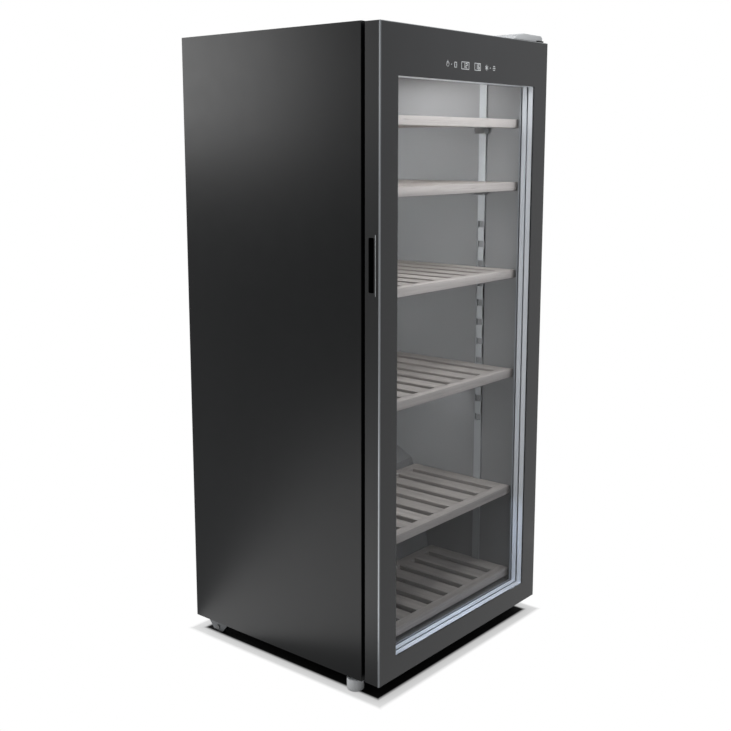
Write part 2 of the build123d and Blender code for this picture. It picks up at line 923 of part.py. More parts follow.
# Fan wheel with tilted blades round a hub that turns on the motor shaft
with BuildPart() as fan_wheel:
    rod((0, rotor_front, fan_z), (0, 1, 0), fan_hub, fan_deep)
    middle_y = rotor_front + fan_deep / 2
    blade_middle = (fan_hub + fan_radius - fan_front_gap) / 2
    blade_length = fan_radius - fan_front_gap - fan_hub + fan_shaft
    hub_frame = Location((0, middle_y, fan_z))
    for n in range(fan_blades):
        turn = Location((0, 0, 0), (0, 360 * n / fan_blades, 0))
        tilt = Location((blade_middle, 0, 0), (fan_blade_tilt, 0, 0))
        with Locations(hub_frame * turn * tilt):
            Box(blade_length, fan_blade_thick, fan_blade_chord)
    block(
        (-fan_radius, rotor_front + fan_deep, fan_z - fan_radius),
        (fan_radius, rotor_front + 2 * fan_deep, fan_z + fan_radius),
        Mode.SUBTRACT,
    )
    block(
        (-fan_radius, rotor_front - fan_deep, fan_z - fan_radius),
        (fan_radius, rotor_front, fan_z + fan_radius),
        Mode.SUBTRACT,
    )
    rod(
        (0, rotor_front + fan_deep, fan_z),
        (0, -1, 0),
        fan_shaft + running_fit,
        fan_deep,
        Mode.SUBTRACT,
    )
save(fan_wheel, "fan_wheel")

lamp_front = cabinet_front + lamp_setback
lamp_half = lamp_length / 2

with BuildPart() as lamp_housing:
    block(
        (-lamp_half, lamp_front, ceiling_z - lamp_deep),
        (lamp_half, lamp_front + lamp_width, ceiling_z),
    )
    block(
        (lamp_wall - lamp_half, lamp_front + lamp_wall, ceiling_z - lamp_deep),
        (lamp_half - lamp_wall, lamp_front + lamp_width - lamp_wall, ceiling_z - lamp_wall),
        Mode.SUBTRACT,
    )
save(lamp_housing, "lamp_housing")

with BuildPart() as lamp_cover:
    block(
        (-lamp_half, lamp_front, ceiling_z - lamp_deep - lamp_lens),
        (lamp_half, lamp_front + lamp_width, ceiling_z - lamp_deep),
    )
    fillet(lamp_cover.edges().group_by(Axis.Z)[0], lamp_lens / 2)
save(lamp_cover, "lamp_cover")

# Compressor on rubber mounts
compressor_y = panel_front - compressor_rear_gap - compressor_radius
plate_low = pan_top + mount_high
shell_low = plate_low + mount_plate
mount_places = [
    (compressor_x + i * mount_span_x / 2, compressor_y + j * mount_span_y / 2)
    for i in (-1, 1)
    for j in (-1, 1)
]

with BuildPart() as rubber_mounts:
    for x, y in mount_places:
        rod((x, y, pan_top), (0, 0, 1), mount_radius, mount_high)
save(rubber_mounts, "rubber_mounts")

discharge_z = shell_low + discharge_height
suction_z = shell_low + suction_height
terminal_z = shell_low + terminal_height
shell_left = compressor_x - compressor_radius
shell_right = compressor_x + compressor_radius
shell_near = compressor_y - compressor_radius

with BuildPart() as compressor:
    block(
        (
            compressor_x - mount_span_x / 2 - mount_plate_edge,
            compressor_y - mount_span_y / 2 - mount_plate_edge,
            plate_low,
        ),
        (
            compressor_x + mount_span_x / 2 + mount_plate_edge,
            compressor_y + mount_span_y / 2 + mount_plate_edge,
            shell_low,
        ),
    )
    rod((compressor_x, compressor_y, shell_low), (0, 0, 1), compressor_radius, compressor_high)
    fillet(compressor.edges().group_by(Axis.Z)[-1], compressor_dome)
    rod(
        (compressor_x, compressor_y, shell_low + compressor_seam_height),
        (0, 0, 1),
        compressor_radius + compressor_seam,
        compressor_seam,
    )
    rod((compressor_x, compressor_y, discharge_z), (-1, 0, 0), stub_radius, compressor_radius + stub_length)
    rod((compressor_x, compressor_y, suction_z), (1, 0, 0), stub_radius, compressor_radius + stub_length)
    block(
        (compressor_x - terminal_width / 2, shell_near - stub_length / 2, terminal_z - terminal_high / 2),
        (compressor_x + terminal_width / 2, compressor_y, terminal_z + terminal_high / 2),
    )
save(compressor, "compressor")

with BuildPart() as terminal_box:
    block(
        (
            compressor_x - terminal_width / 2,
            shell_near - stub_length / 2 - terminal_deep,
            terminal_z - terminal_high / 2,
        ),
        (
            compressor_x + terminal_width / 2,
            shell_near - stub_length / 2,
            terminal_z + terminal_high / 2,
        ),
    )
    fillet(terminal_box.edges().group_by(Axis.Y)[0], rail_round)
save(terminal_box, "terminal_box")

# Finned condenser that stands beside the compressor
condenser_left = condenser_side_gap - half_width
condenser_right = condenser_left + condenser_width
condenser_back = panel_front - condenser_rear_gap
condenser_front = condenser_back - condenser_deep
condenser_top = pan_top + condenser_high
condenser_in_z = condenser_top - stub_length * 2
condenser_out_z = pan_top + stub_length * 2
condenser_y = (condenser_front + condenser_back) / 2

with BuildPart() as condenser:
    fin_step = (condenser_width - condenser_plate) / (condenser_fins + 1)
    for n in range(condenser_fins + 2):
        fin = condenser_plate if n in (0, condenser_fins + 1) else condenser_fin
        x = condenser_left + n * fin_step
        block((x, condenser_front, pan_top), (x + fin, condenser_back, condenser_top))
    for z in (condenser_out_z, (condenser_in_z + condenser_out_z) / 2, condenser_in_z):
        rod((condenser_left, condenser_y, z), (1, 0, 0), condenser_tube, condenser_width)
save(condenser, "condenser")

drier_x = condenser_right + drier_gap
drier_y = panel_front - drier_rear_gap
drier_low = condenser_out_z + pipe_bend * 2
drier_top = drier_low + drier_high

with BuildPart() as filter_drier:
    with BuildSketch(Plane.XZ.offset(-drier_y)) as drier_shape:
        with BuildLine():
            Polyline(
                (drier_x, drier_low),
                (drier_x + drier_neck, drier_low),
                (drier_x + drier_radius, drier_low + drier_cone),
                (drier_x + drier_radius, drier_top - drier_cone),
                (drier_x + drier_neck, drier_top),
                (drier_x, drier_top),
                close=True,
            )
        make_face()
    revolve(drier_shape.sketch, axis=Axis((drier_x, drier_y, 0), (0, 0, 1)))
save(filter_drier, "filter_drier")


def pipe(points, radius):
    """Bent round pipe along a path of corners."""
    with BuildLine() as path:
        FilletPolyline(*points, radius=pipe_bend)
    with BuildSketch(path.line ^ 0) as ring:
        Circle(radius)
    sweep(ring.sketch, path=path.line)


ceiling_bay = bay_top - sheet
discharge_x = (condenser_right + shell_left - stub_length) / 2
suction_x = shell_right + stub_length + pipe_bend * 2

with BuildPart() as refrigerant_pipes:
    pipe(
        [
            (shell_left - stub_length, compressor_y, discharge_z),
            (discharge_x, compressor_y, discharge_z),
            (discharge_x, condenser_y, condenser_in_z),
            (condenser_right, condenser_y, condenser_in_z),
        ],
        pipe_radius,
    )
    pipe(
        [
            (condenser_right, condenser_y, condenser_out_z),
            (drier_x, condenser_y, condenser_out_z),
            (drier_x, drier_y, condenser_out_z),
            (drier_x, drier_y, drier_low),
        ],
        pipe_radius,
    )
    pipe(
        [
            (shell_right + stub_length, compressor_y, suction_z),
            (suction_x, compressor_y, suction_z),
            (suction_x, compressor_y, ceiling_bay),
        ],
        pipe_radius,
    )
    rod((drier_x, drier_y, drier_top), (0, 0, 1), capillary_radius, ceiling_bay - drier_top)
save(refrigerant_pipes, "refrigerant_pipes")

# Tray that hangs under the bay roof and catches the drained water
tray_low = ceiling_bay - tray_drop
tray_left = drain_x - tray_length / 2
tray_right = drain_x + tray_length / 2
tray_near = drain_y - tray_width / 2
tray_far = drain_y + tray_width / 2

with BuildPart() as drip_tray:
    block((tray_left, tray_near, tray_low), (tray_right, tray_far, tray_low + tray_high))
    block(
        (tray_left + tray_wall, tray_near + tray_wall, tray_low + tray_wall),
        (tray_right - tray_wall, tray_far - tray_wall, tray_low + tray_high),
        Mode.SUBTRACT,
    )
    for x in (tray_left, tray_right - tray_wall):
        block((x, tray_near, tray_low + tray_high), (x + tray_wall, tray_far, ceiling_bay))
save(drip_tray, "drip_tray")

with BuildPart() as drain_tube:
    tube_low = tray_low + tray_high / 2
    rod((drain_x, drain_y, hump_top_z), (0, 0, 1), drain_flange, drain_flange_thick)
    rod((drain_x, drain_y, hump_top_z), (0, 0, -1), drain_radius, hump_top_z - tube_low)
    rod(
        (drain_x, drain_y, tube_low),
        (0, 0, 1),
        drain_bore,
        hump_top_z + drain_flange_thick - tube_low,
        Mode.SUBTRACT,
    )
save(drain_tube, "drain_tube")

# Door glass: a full-face front pane and two smaller panes behind it
with BuildPart() as front_glass:
    block((-half_width, door_front, door_bottom), (half_width, door_front + glass, door_top))
    chamfer(front_glass.faces().sort_by(Axis.Y)[0].edges(), glass_bevel)
save(front_glass, "front_glass")

# Black print behind the edge of the front pane, with a clear patch for each display
with BuildPart() as glass_print:
    block((-half_width, door_front + glass, door_bottom), (half_width, print_back, door_top))
    block(
        (-window_half, door_front + glass, window_bottom),
        (window_half, print_back, window_top),
        Mode.SUBTRACT,
    )
    for x, length in display_places:
        with Locations((x, print_back - print_layer / 2, display_z)):
            Box(length, print_layer, display_height, mode=Mode.SUBTRACT)
save(glass_print, "glass_print")

with BuildPart() as inner_panes:
    for start in (middle_front, inner_front):
        block((-pane_half, start, pane_bottom), (pane_half, start + glass, pane_top))
save(inner_panes, "inner_panes")


def bars(half, low, high, thick, start, stop, gap):
    """Four straight bars round an opening: two full-length, two between them."""
    block((-half - thick, start, low - thick), (half + thick, stop, low))
    block((-half - thick, start, high), (half + thick, stop, high + thick))
    for left in (-half - thick, half):
        block((left, start, low + gap), (left + thick, stop, high - gap))


with BuildPart() as spacer_bars:
    for start, stop in ((print_back, middle_front), (middle_front + glass, inner_front)):
        bars(window_half, window_bottom, window_top, spacer_width, start, stop, glue_line)
save(spacer_bars, "spacer_bars")

with BuildPart() as glazing_beads:
    bars(window_half, window_bottom, window_top, pane_overlap, bead_front, door_back, glue_line)
save(glazing_beads, "glazing_beads")

# Hollow door frame behind the print
grip_z = cabinet_bottom + grip_height_share * body_height
grip_y = (print_back + door_back) / 2 + grip_wall / 2
grip_corner_outer = grip_corner + grip_corner_relief

for side, name in ((-1, "door_stile_left"), (1, "door_stile_right")):
    with BuildPart() as door_stile:
        with BuildSketch(Plane.XY.offset(door_bottom)) as tube_shape:
            with Locations((side * (half_width + pane_half) / 2, (print_back + door_back) / 2)):
                Rectangle(half_width - pane_half, door_back - print_back)
                Rectangle(
                    half_width - pane_half - 2 * profile_wall,
                    door_back - print_back - 2 * profile_wall,
                    mode=Mode.SUBTRACT,
                )
        extrude(tube_shape.sketch, amount=door_top - door_bottom)
        if side < 0:
            with BuildSketch(Plane.YZ.offset(-half_width)) as grip_hole:
                with Locations((grip_y, grip_z)):
                    RectangleRounded(grip_width, grip_length, grip_corner)
            extrude(grip_hole.sketch, amount=profile_wall, mode=Mode.SUBTRACT)
    save(door_stile, name)

for name, low, high in (
    ("door_rail_top", pane_top, door_top),
    ("door_rail_bottom", door_bottom, pane_bottom),
):
    with BuildPart() as door_rail:
        block((-pane_half, print_back, low), (pane_half, door_back, high))
        block(
            (-pane_half, print_back, low + profile_wall),
            (pane_half, door_back - profile_wall, high - profile_wall),
            Mode.SUBTRACT,
        )
    save(door_rail, name)

# Grip cup set flush in the left edge, hollow behind a narrower mouth
with BuildPart() as grip_cup:
    with BuildSketch(Plane.YZ.offset(-half_width)) as cup_shape:
        with Locations((grip_y, grip_z)):
            RectangleRounded(grip_width, grip_length, grip_corner_outer)
    extrude(cup_shape.sketch, amount=grip_depth)
    block(
        (
            grip_wall - half_width,
            grip_y - grip_width / 2 + grip_wall,
            grip_z - grip_length / 2 + grip_wall,
        ),
        (
            grip_depth - grip_wall - half_width,
            grip_y + grip_width / 2 - grip_wall,
            grip_z + grip_length / 2 - grip_wall,
        ),
        Mode.SUBTRACT,
    )
    with BuildSketch(Plane.YZ.offset(-half_width)) as mouth_shape:
        with Locations((grip_y, grip_z)):
            RectangleRounded(grip_mouth_width, grip_mouth_length, grip_corner)
    extrude(mouth_shape.sketch, amount=grip_wall, mode=Mode.SUBTRACT)
save(grip_cup, "grip_cup")

# Plugs in the ends of the door frame; the right pair turn on the hinge pins
plug_left = pane_half + profile_wall
plug_right = half_width - profile_wall
plug_front = print_back + profile_wall
plug_back = door_back - profile_wall

with BuildPart() as hinge_plugs:
    for low in (door_bottom, door_top - plug_length):
        block((plug_left, plug_front, low), (plug_right, plug_back, low + plug_length))
        rod((axis_x, axis_y, low), (0, 0, 1), pin_radius + running_fit, plug_length, Mode.SUBTRACT)
save(hinge_plugs, "hinge_plugs")

with BuildPart() as stile_caps:
    for low in (door_bottom, door_top - cap_length):
        block((-plug_right, plug_front, low), (-plug_left, plug_back, low + cap_length))
save(stile_caps, "stile_caps")

# Soft seal that closes the gap to the cabinet
seal_half = half_width - gasket_inset - gasket_width
seal_low = door_bottom + gasket_inset + gasket_width
seal_high = door_top - gasket_inset - gasket_width
bulb_back = cabinet_front - gasket_clearance
bulb_width = gasket_width - 2 * gasket_relief

with BuildPart() as door_gasket:
    bars(seal_half, seal_low, seal_high, gasket_width, door_back, door_back + gasket_base, 0)
    bars(
        seal_half + gasket_relief,
        seal_low - gasket_relief,
        seal_high + gasket_relief,
        bulb_width,
        door_back + gasket_base,
        bulb_back,
        0,
    )
save(door_gasket, "door_gasket")

# Display and touch board in the top of the door
board_front = print_back + display_deep
board_back = board_front + board_thick

with BuildPart() as display_units:
    for x, length in display_places:
        with Locations((x, print_back + display_deep / 2, display_z)):
            Box(length + 2 * display_border, display_deep, display_height + 2 * display_border)
save(display_units, "display_units")

with BuildPart() as control_board:
    block(
        (-board_length / 2, board_front, display_z - board_height / 2),
        (board_length / 2, board_back, display_z + board_height / 2),
    )
    post_x = board_length / 2 - 2 * board_post
    post_z = board_height / 2 - 2 * board_post
    for x in (-post_x, post_x):
        for z in (display_z - post_z, display_z + post_z):
            rod((x, board_back, z), (0, 1, 0), board_post, plug_back - board_back)
save(control_board, "control_board")
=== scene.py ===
"""Looks of a tall glass-door wine cooler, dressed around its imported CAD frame."""

import json
import logging
import math
from collections.abc import Sequence
from dataclasses import dataclass
from enum import Enum

import bmesh
import bpy
from mathutils import Matrix, Quaternion, Vector

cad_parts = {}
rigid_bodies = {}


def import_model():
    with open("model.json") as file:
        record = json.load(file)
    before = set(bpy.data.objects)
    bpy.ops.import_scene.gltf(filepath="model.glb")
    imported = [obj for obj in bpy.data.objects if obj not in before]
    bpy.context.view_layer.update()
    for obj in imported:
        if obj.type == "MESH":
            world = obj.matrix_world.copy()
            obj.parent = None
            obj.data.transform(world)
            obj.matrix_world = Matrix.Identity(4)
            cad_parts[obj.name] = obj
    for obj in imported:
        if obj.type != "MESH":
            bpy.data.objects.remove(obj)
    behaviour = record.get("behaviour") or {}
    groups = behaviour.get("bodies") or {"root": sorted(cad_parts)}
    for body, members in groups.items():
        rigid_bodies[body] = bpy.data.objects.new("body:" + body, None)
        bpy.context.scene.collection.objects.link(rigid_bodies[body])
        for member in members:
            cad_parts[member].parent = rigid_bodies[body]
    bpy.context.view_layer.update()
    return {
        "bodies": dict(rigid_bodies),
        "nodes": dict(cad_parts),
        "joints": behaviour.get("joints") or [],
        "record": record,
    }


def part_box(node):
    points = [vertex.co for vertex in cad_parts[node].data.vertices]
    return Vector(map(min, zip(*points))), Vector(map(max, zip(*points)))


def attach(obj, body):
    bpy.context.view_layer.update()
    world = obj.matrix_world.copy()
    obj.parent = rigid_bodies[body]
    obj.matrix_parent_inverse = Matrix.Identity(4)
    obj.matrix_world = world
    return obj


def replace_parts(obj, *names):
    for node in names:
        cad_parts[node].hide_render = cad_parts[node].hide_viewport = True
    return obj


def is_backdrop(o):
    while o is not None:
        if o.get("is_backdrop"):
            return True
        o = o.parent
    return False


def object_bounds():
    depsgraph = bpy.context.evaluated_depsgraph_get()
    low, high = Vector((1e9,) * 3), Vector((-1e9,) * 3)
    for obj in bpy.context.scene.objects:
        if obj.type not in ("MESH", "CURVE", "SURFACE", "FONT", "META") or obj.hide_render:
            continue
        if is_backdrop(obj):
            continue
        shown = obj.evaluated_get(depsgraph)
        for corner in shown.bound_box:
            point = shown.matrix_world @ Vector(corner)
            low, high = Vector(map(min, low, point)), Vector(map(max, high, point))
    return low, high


log = logging.getLogger("wine_cooler")

Point = tuple[float, float, float]
Flat = tuple[float, float]

CABINET = "cabinet"
DOOR = "door"

WHITE = (1.0, 1.0, 1.0, 1.0)
SHARP_ANGLE = math.radians(35)
BEVEL_PROFILE = 0.6

# The part of a noise that is mapped onto a range, and how fine the noises are.
NOISE_LOW = 0.3
NOISE_HIGH = 0.7
SMEAR_DETAIL = 5.0
FINE_DETAIL = 2.0
LEAST_ROUGHNESS = 0.02

# Sockets of a colour mix, which share their names with those of the other kinds of mix.
MIX_FIRST = 6
MIX_SECOND = 7
MIX_RESULT = 2

# Lines of each figure that the displays show, by the letters of a seven-line figure.
FIGURE_LINES = {"1": "bc", "2": "abged", "6": "afgedc"}


def linear(code: str) -> tuple[float, float, float, float]:
    """Turn a six-figure screen colour into Blender's linear colour.

    Args:
        code: Red, green and blue as two hexadecimal figures each.

    Returns:
        The linear colour with full alpha.
    """
    shares = [int(code[k : k + 2], 16) / 255 for k in (0, 2, 4)]
    red, green, blue = (c / 12.92 if c <= 0.04045 else ((c + 0.055) / 1.055) ** 2.4 for c in shares)
    return red, green, blue, 1.0


def shaded(colour: Sequence[float], share: float) -> tuple[float, float, float, float]:
    """Scale a linear colour's brightness and keep its alpha."""
    return colour[0] * share, colour[1] * share, colour[2] * share, 1.0


# ---------------------------------------------------------------- finishes


class Grain(Enum):
    """Which way the fine texture of a finish is drawn out."""

    EVEN = (1.0, 1.0, 1.0)
    ALONG_X = (0.03, 1.0, 1.0)
    ALONG_Y = (1.0, 0.03, 1.0)
    ALONG_Z = (1.0, 1.0, 0.03)


class ShaderSheet:
    """The node sheet of one material, with the few nodes that the finishes share."""

    def __init__(self, name: str) -> None:
        """Open a fresh material with a Principled shader.

        Args:
            name: The material's name.
        """
        self.material = bpy.data.materials.new(name)
        self.material.use_nodes = True
        self.nodes = self.material.node_tree.nodes
        self.links = self.material.node_tree.links
        self.shader = self.nodes["Principled BSDF"]
        self.object_place = self.nodes.new("ShaderNodeTexCoord").outputs["Object"]

    def add(self, kind: str, **sockets: object) -> bpy.types.Node:
        """Add a node and fill its inputs.

        Args:
            kind: Blender's node type.
            **sockets: Input names, with _ for a space, and a number, colour or output to link.

        Returns:
            The new node.
        """
        node = self.nodes.new(kind)
        for name, value in sockets.items():
            self.feed(node.inputs[name.replace("_", " ")], value)
        return node

    def feed(self, socket: bpy.types.NodeSocket, value: object) -> None:
        """Link an output to a socket, or set the socket's own value.

        Args:
            socket: The input to fill.
            value: An output, a number, a vector or a colour.
        """
        if isinstance(value, bpy.types.NodeSocket):
            self.links.new(value, socket)
        else:
            socket.default_value = value

    def reckon(
        self, operation: str, first: object, second: object = None, vectors: bool = False
    ) -> bpy.types.NodeSocket:
        """Do one sum on numbers or on vectors.

        Args:
            operation: Blender's name of the sum.
            first: A number, a vector or an output.
            second: The same, where the sum takes two.
            vectors: Whether the sum is on vectors.

        Returns:
            The result.
        """
        node = self.nodes.new("ShaderNodeVectorMath" if vectors else "ShaderNodeMath")
        node.operation = operation
        self.feed(node.inputs[0], first)
        if second is not None:
            self.feed(node.inputs["Scale" if operation == "SCALE" else 1], second)
        return node.outputs[0]

    def place(
        self, stretch: Point, start: bpy.types.NodeSocket | None = None
    ) -> bpy.types.NodeSocket:
        """Give coordinates, drawn out along the axes.

        Args:
            stretch: Scale of the coordinates along each axis.
            start: Coordinates to draw out, or None for the object's own.

        Returns:
            The coordinate output.
        """
        where = self.object_place if start is None else start
        return self.add("ShaderNodeMapping", Vector=where, Scale=stretch).outputs["Vector"]

    def noise(
        self, where: bpy.types.NodeSocket, scale: float, detail: float = 3.0
    ) -> bpy.types.NodeSocket:
        """Give smooth noise between 0 and 1.

        Args:
            where: Coordinates to read.
            scale: Waves in a metre.
            detail: Octaves of finer noise.

        Returns:
            The noise output.
        """
        node = self.add("ShaderNodeTexNoise", Vector=where, Scale=scale, Detail=detail)
        return node.outputs["Fac"]

    def spread(
        self, value: bpy.types.NodeSocket, low: float, high: float
    ) -> bpy.types.NodeSocket:
        """Map the middle of a noise onto a range of numbers.

        Args:
            value: Noise between 0 and 1.
            low: Number at the noise's low side.
            high: Number at its high side.

        Returns:
            The mapped output.
        """
        node = self.add("ShaderNodeMapRange", Value=value, To_Min=low, To_Max=high)
        self.feed(node.inputs["From Min"], NOISE_LOW)
        self.feed(node.inputs["From Max"], NOISE_HIGH)
        return node.outputs["Result"]

    def blend(
        self, share: bpy.types.NodeSocket, first: Sequence[float], second: Sequence[float]
    ) -> bpy.types.NodeSocket:
        """Run from one colour to another across the middle of a noise.

        Args:
            share: Noise between 0 and 1.
            first: Colour at its low side.
            second: Colour at its high side.

        Returns:
            The colour output.
        """
        ramp = self.add("ShaderNodeValToRGB", Fac=share)
        low, high = ramp.color_ramp.elements
        low.position, low.color = NOISE_LOW, first
        high.position, high.color = NOISE_HIGH, second
        return ramp.outputs["Color"]

    def relief(
        self, height: bpy.types.NodeSocket, strength: float, depth: float
    ) -> bpy.types.NodeSocket:
        """Give a bumped normal.

        Args:
            height: Height between 0 and 1.
            strength: Share of the bump that shows.
            depth: Height of the bump in metres.

        Returns:
            The normal output.
        """
        node = self.add("ShaderNodeBump", Strength=strength, Distance=depth, Height=height)
        return node.outputs["Normal"]


@dataclass(frozen=True)
class Finish:
    """A surface finish: its colour, gloss, and the fine texture that breaks both up."""

    name: str
    colour: str
    roughness: float = 0.45
    metallic: float = 0.0
    specular: float = 0.5
    drift: float = 0.06
    drift_scale: float = 7.0
    wear: float = 0.06
    wear_scale: float = 24.0
    relief: float = 0.15
    relief_scale: float = 700.0
    relief_depth: float = 0.0001
    grain: Grain = Grain.EVEN
    coat: float = 0.0
    coat_roughness: float = 0.08

    def material(self) -> bpy.types.Material:
        """Give the finish's material, made the first time that it is asked for."""
        return bpy.data.materials.get(self.name) or self.build().material

    def build(self) -> ShaderSheet:
        """Lay out the finish's nodes.

        Returns:
            The node sheet, for a finish that adds to it.
        """
        sheet = ShaderSheet(self.name)
        tone = linear(self.colour)
        where = sheet.place(self.grain.value)
        cloud = sheet.noise(where, self.drift_scale)
        smear = sheet.noise(where, self.wear_scale, SMEAR_DETAIL)
        fine = sheet.noise(where, self.relief_scale, FINE_DETAIL)
        inputs = sheet.shader.inputs
        dark, pale = shaded(tone, 1 - self.drift), shaded(tone, 1 + self.drift)
        sheet.feed(inputs["Base Color"], sheet.blend(cloud, dark, pale))
        low = max(self.roughness - self.wear, LEAST_ROUGHNESS)
        high = min(self.roughness + self.wear, 1.0)
        sheet.feed(inputs["Roughness"], sheet.spread(smear, low, high))
        sheet.feed(inputs["Normal"], sheet.relief(fine, self.relief, self.relief_depth))
        inputs["Metallic"].default_value = self.metallic
        inputs["Specular IOR Level"].default_value = self.specular
        inputs["Coat Weight"].default_value = self.coat
        inputs["Coat Roughness"].default_value = self.coat_roughness
        return sheet


@dataclass(frozen=True)
class GlassFinish(Finish):
    """Clear glass, with a faint film that softens its gloss here and there."""

    ior: float = 1.45

    def build(self) -> ShaderSheet:
        """Lay out the nodes of clear glass.

        Returns:
            The node sheet.
        """
        sheet = super().build()
        sheet.shader.inputs["Transmission Weight"].default_value = 1.0
        sheet.shader.inputs["IOR"].default_value = self.ior
        return sheet


@dataclass(frozen=True)
class GlowFinish(Finish):
    """A diffuser that is lit from behind."""

    strength: float = 2.0

    def build(self) -> ShaderSheet:
        """Lay out the nodes of the lit diffuser.

        Returns:
            The node sheet.
        """
        sheet = super().build()
        sheet.shader.inputs["Emission Color"].default_value = linear(self.colour)
        sheet.shader.inputs["Emission Strength"].default_value = self.strength
        return sheet


@dataclass(frozen=True)
class SpangleFinish(Finish):
    """Zinc-coated steel with the flat crystals of the coating."""

    spangle_scale: float = 150.0
    spangle_tones: Flat = (0.94, 1.05)
    dulling: float = 0.04

    def build(self) -> ShaderSheet:
        """Lay out the nodes of spangled zinc.

        Returns:
            The node sheet.
        """
        sheet = super().build()
        inputs = sheet.shader.inputs
        cells = sheet.add(
            "ShaderNodeTexVoronoi", Vector=sheet.object_place, Scale=self.spangle_scale
        )
        tint = sheet.add("ShaderNodeSeparateColor", Color=cells.outputs["Color"]).outputs["Red"]
        dark, pale = (shaded(linear(self.colour), share) for share in self.spangle_tones)
        sheet.feed(inputs["Base Color"], sheet.blend(tint, dark, pale))
        low, high = self.roughness - self.dulling, self.roughness + self.dulling
        sheet.feed(inputs["Roughness"], sheet.spread(tint, low, high))
        return sheet


@dataclass(frozen=True)
class WoodFinish(Finish):
    """Planed wood: drawn-out grain, short dark flecks, and a tone of its own for each slat."""

    board: float = 0.06
    across: int = 0
    level_step: float = 0.05
    board_tones: Flat = (0.9, 1.0)
    ring_scale: float = 90.0
    ring_detail: float = 6.0
    ring_tones: Flat = (0.8, 1.08)
    ring_relief: float = 0.25
    ring_depth: float = 0.0003
    fleck_scale: float = 900.0
    fleck_range: Flat = (0.62, 0.74)
    fleck_tone: float = 0.6

    def build(self) -> ShaderSheet:
        """Lay out the nodes of planed wood.

        Returns:
            The node sheet.
        """
        sheet = super().build()
        inputs = sheet.shader.inputs
        tone = linear(self.colour)
        axes = sheet.add("ShaderNodeSeparateXYZ", Vector=sheet.object_place).outputs
        middle = sheet.reckon("ADD", axes[self.across], self.board / 2)
        step = sheet.reckon("SNAP", middle, self.board)
        level = sheet.reckon("SNAP", axes["Z"], self.level_step)
        pair = sheet.add("ShaderNodeCombineXYZ", X=step, Y=level).outputs["Vector"]
        chance = sheet.add("ShaderNodeTexWhiteNoise", Vector=pair).outputs["Value"]

        shifted = sheet.reckon("ADD", sheet.object_place, pair, vectors=True)
        where = sheet.place(self.grain.value, shifted)
        rings = sheet.noise(where, self.ring_scale, self.ring_detail)
        flecks = sheet.noise(where, self.fleck_scale, FINE_DETAIL)

        dark, pale = (shaded(tone, share) for share in self.ring_tones)
        low, high = self.fleck_range
        fleck = sheet.add("ShaderNodeMapRange", Value=flecks, From_Min=low, From_Max=high)
        mix = sheet.add("ShaderNodeMix", Factor=fleck.outputs["Result"])
        mix.data_type = "RGBA"
        sheet.feed(mix.inputs[MIX_FIRST], sheet.blend(rings, dark, pale))
        sheet.feed(mix.inputs[MIX_SECOND], shaded(tone, self.fleck_tone))
        board_share = sheet.spread(chance, *self.board_tones)
        toned = sheet.reckon("SCALE", mix.outputs[MIX_RESULT], board_share, vectors=True)
        sheet.feed(inputs["Base Color"], toned)
        sheet.feed(inputs["Normal"], sheet.relief(rings, self.ring_relief, self.ring_depth))
        return sheet


STEEL_BLACK = Finish(
    "black_steel_paint", "0b0c0d", 0.3, specular=0.1, wear=0.012, relief=0.05, relief_scale=420.0
)
STEEL_TOP = Finish(
    "black_steel_top", "0f1011", 0.55, specular=0.015, wear=0.03, relief=0.1, relief_scale=420.0
)
ZINC = SpangleFinish("spangled_zinc", "989da0", 0.42, metallic=0.4)
COMPRESSOR_BLACK = Finish(
    "compressor_enamel", "131416", 0.32, relief=0.25, relief_scale=260.0, coat=0.3
)
FOAM = Finish(
    "insulation_foam",
    "cdb77e",
    0.9,
    drift=0.15,
    relief=0.6,
    relief_scale=260.0,
    relief_depth=0.0006,
)
LINER = Finish("liner_plastic", "919191", 0.55, specular=0.15, relief=0.05, relief_scale=900.0)
STRIP = Finish("strip_plastic", "b4b7b8", 0.42)
SLAT_WOOD = WoodFinish(
    "slat_beech", "d2cac3", 0.58, specular=0.2, grain=Grain.ALONG_Y, board=0.0598
)
RAIL_WOOD = WoodFinish("rail_beech", "dad2cc", 0.55, specular=0.2, grain=Grain.ALONG_X, across=1)
COVER_SILVER = Finish("hinge_cover_silver", "a6a8aa", 0.6, specular=0.05, relief=0.2)
FOOT_GREY = Finish("foot_plastic", "b6b8ba", 0.5, drift=0.1)
BRACKET_GREY = Finish("bracket_grey", "2a2c2e", 0.55, specular=0.2)
# Pale grey of the strip by the grip, which is a painted highlight line.
LIP_HIGHLIGHT_GREY = Finish("grip_lip_grey", "7c7f81", 0.35, metallic=0.3)
PLASTIC_BLACK = Finish(
    "moulded_black_plastic", "101112", 0.5, specular=0.25, relief=0.2, relief_scale=1200.0
)
RUBBER = Finish("gasket_rubber", "131313", 0.72, specular=0.35, relief=0.3, relief_scale=900.0)
ALUMINIUM = Finish("drawn_aluminium", "c9ccce", 0.3, metallic=1.0, grain=Grain.ALONG_X)
COPPER = Finish("copper_pipe", "b87650", 0.3, metallic=1.0, drift=0.16, wear=0.12)
LAMP = GlowFinish("lamp_diffuser", "f4f6f6", 0.6, strength=1.6)
DOOR_GLASS = GlassFinish(
    "front_glass", "f5f6f8", 0.02, wear=0.01, drift=0.003, relief=0.0, ior=1.09
)
PANE_GLASS = GlassFinish("pane_glass", "f7f8f9", 0.02, wear=0.01, drift=0.003, relief=0.0, ior=1.03)
PRINT = Finish("black_glass_print", "1b1c1e", 0.2, relief=0.0, wear=0.02, specular=0.3)
FRAME = Finish(
    "door_frame_black", "0f1011", 0.4, specular=0.15, wear=0.02, grain=Grain.ALONG_Z, relief=0.1
)
BOARD = Finish("circuit_board", "1f4a33", 0.4, drift=0.2, drift_scale=160.0)
SPACER = Finish("spacer_aluminium", "e8ecf0", 0.42, grain=Grain.ALONG_Z)
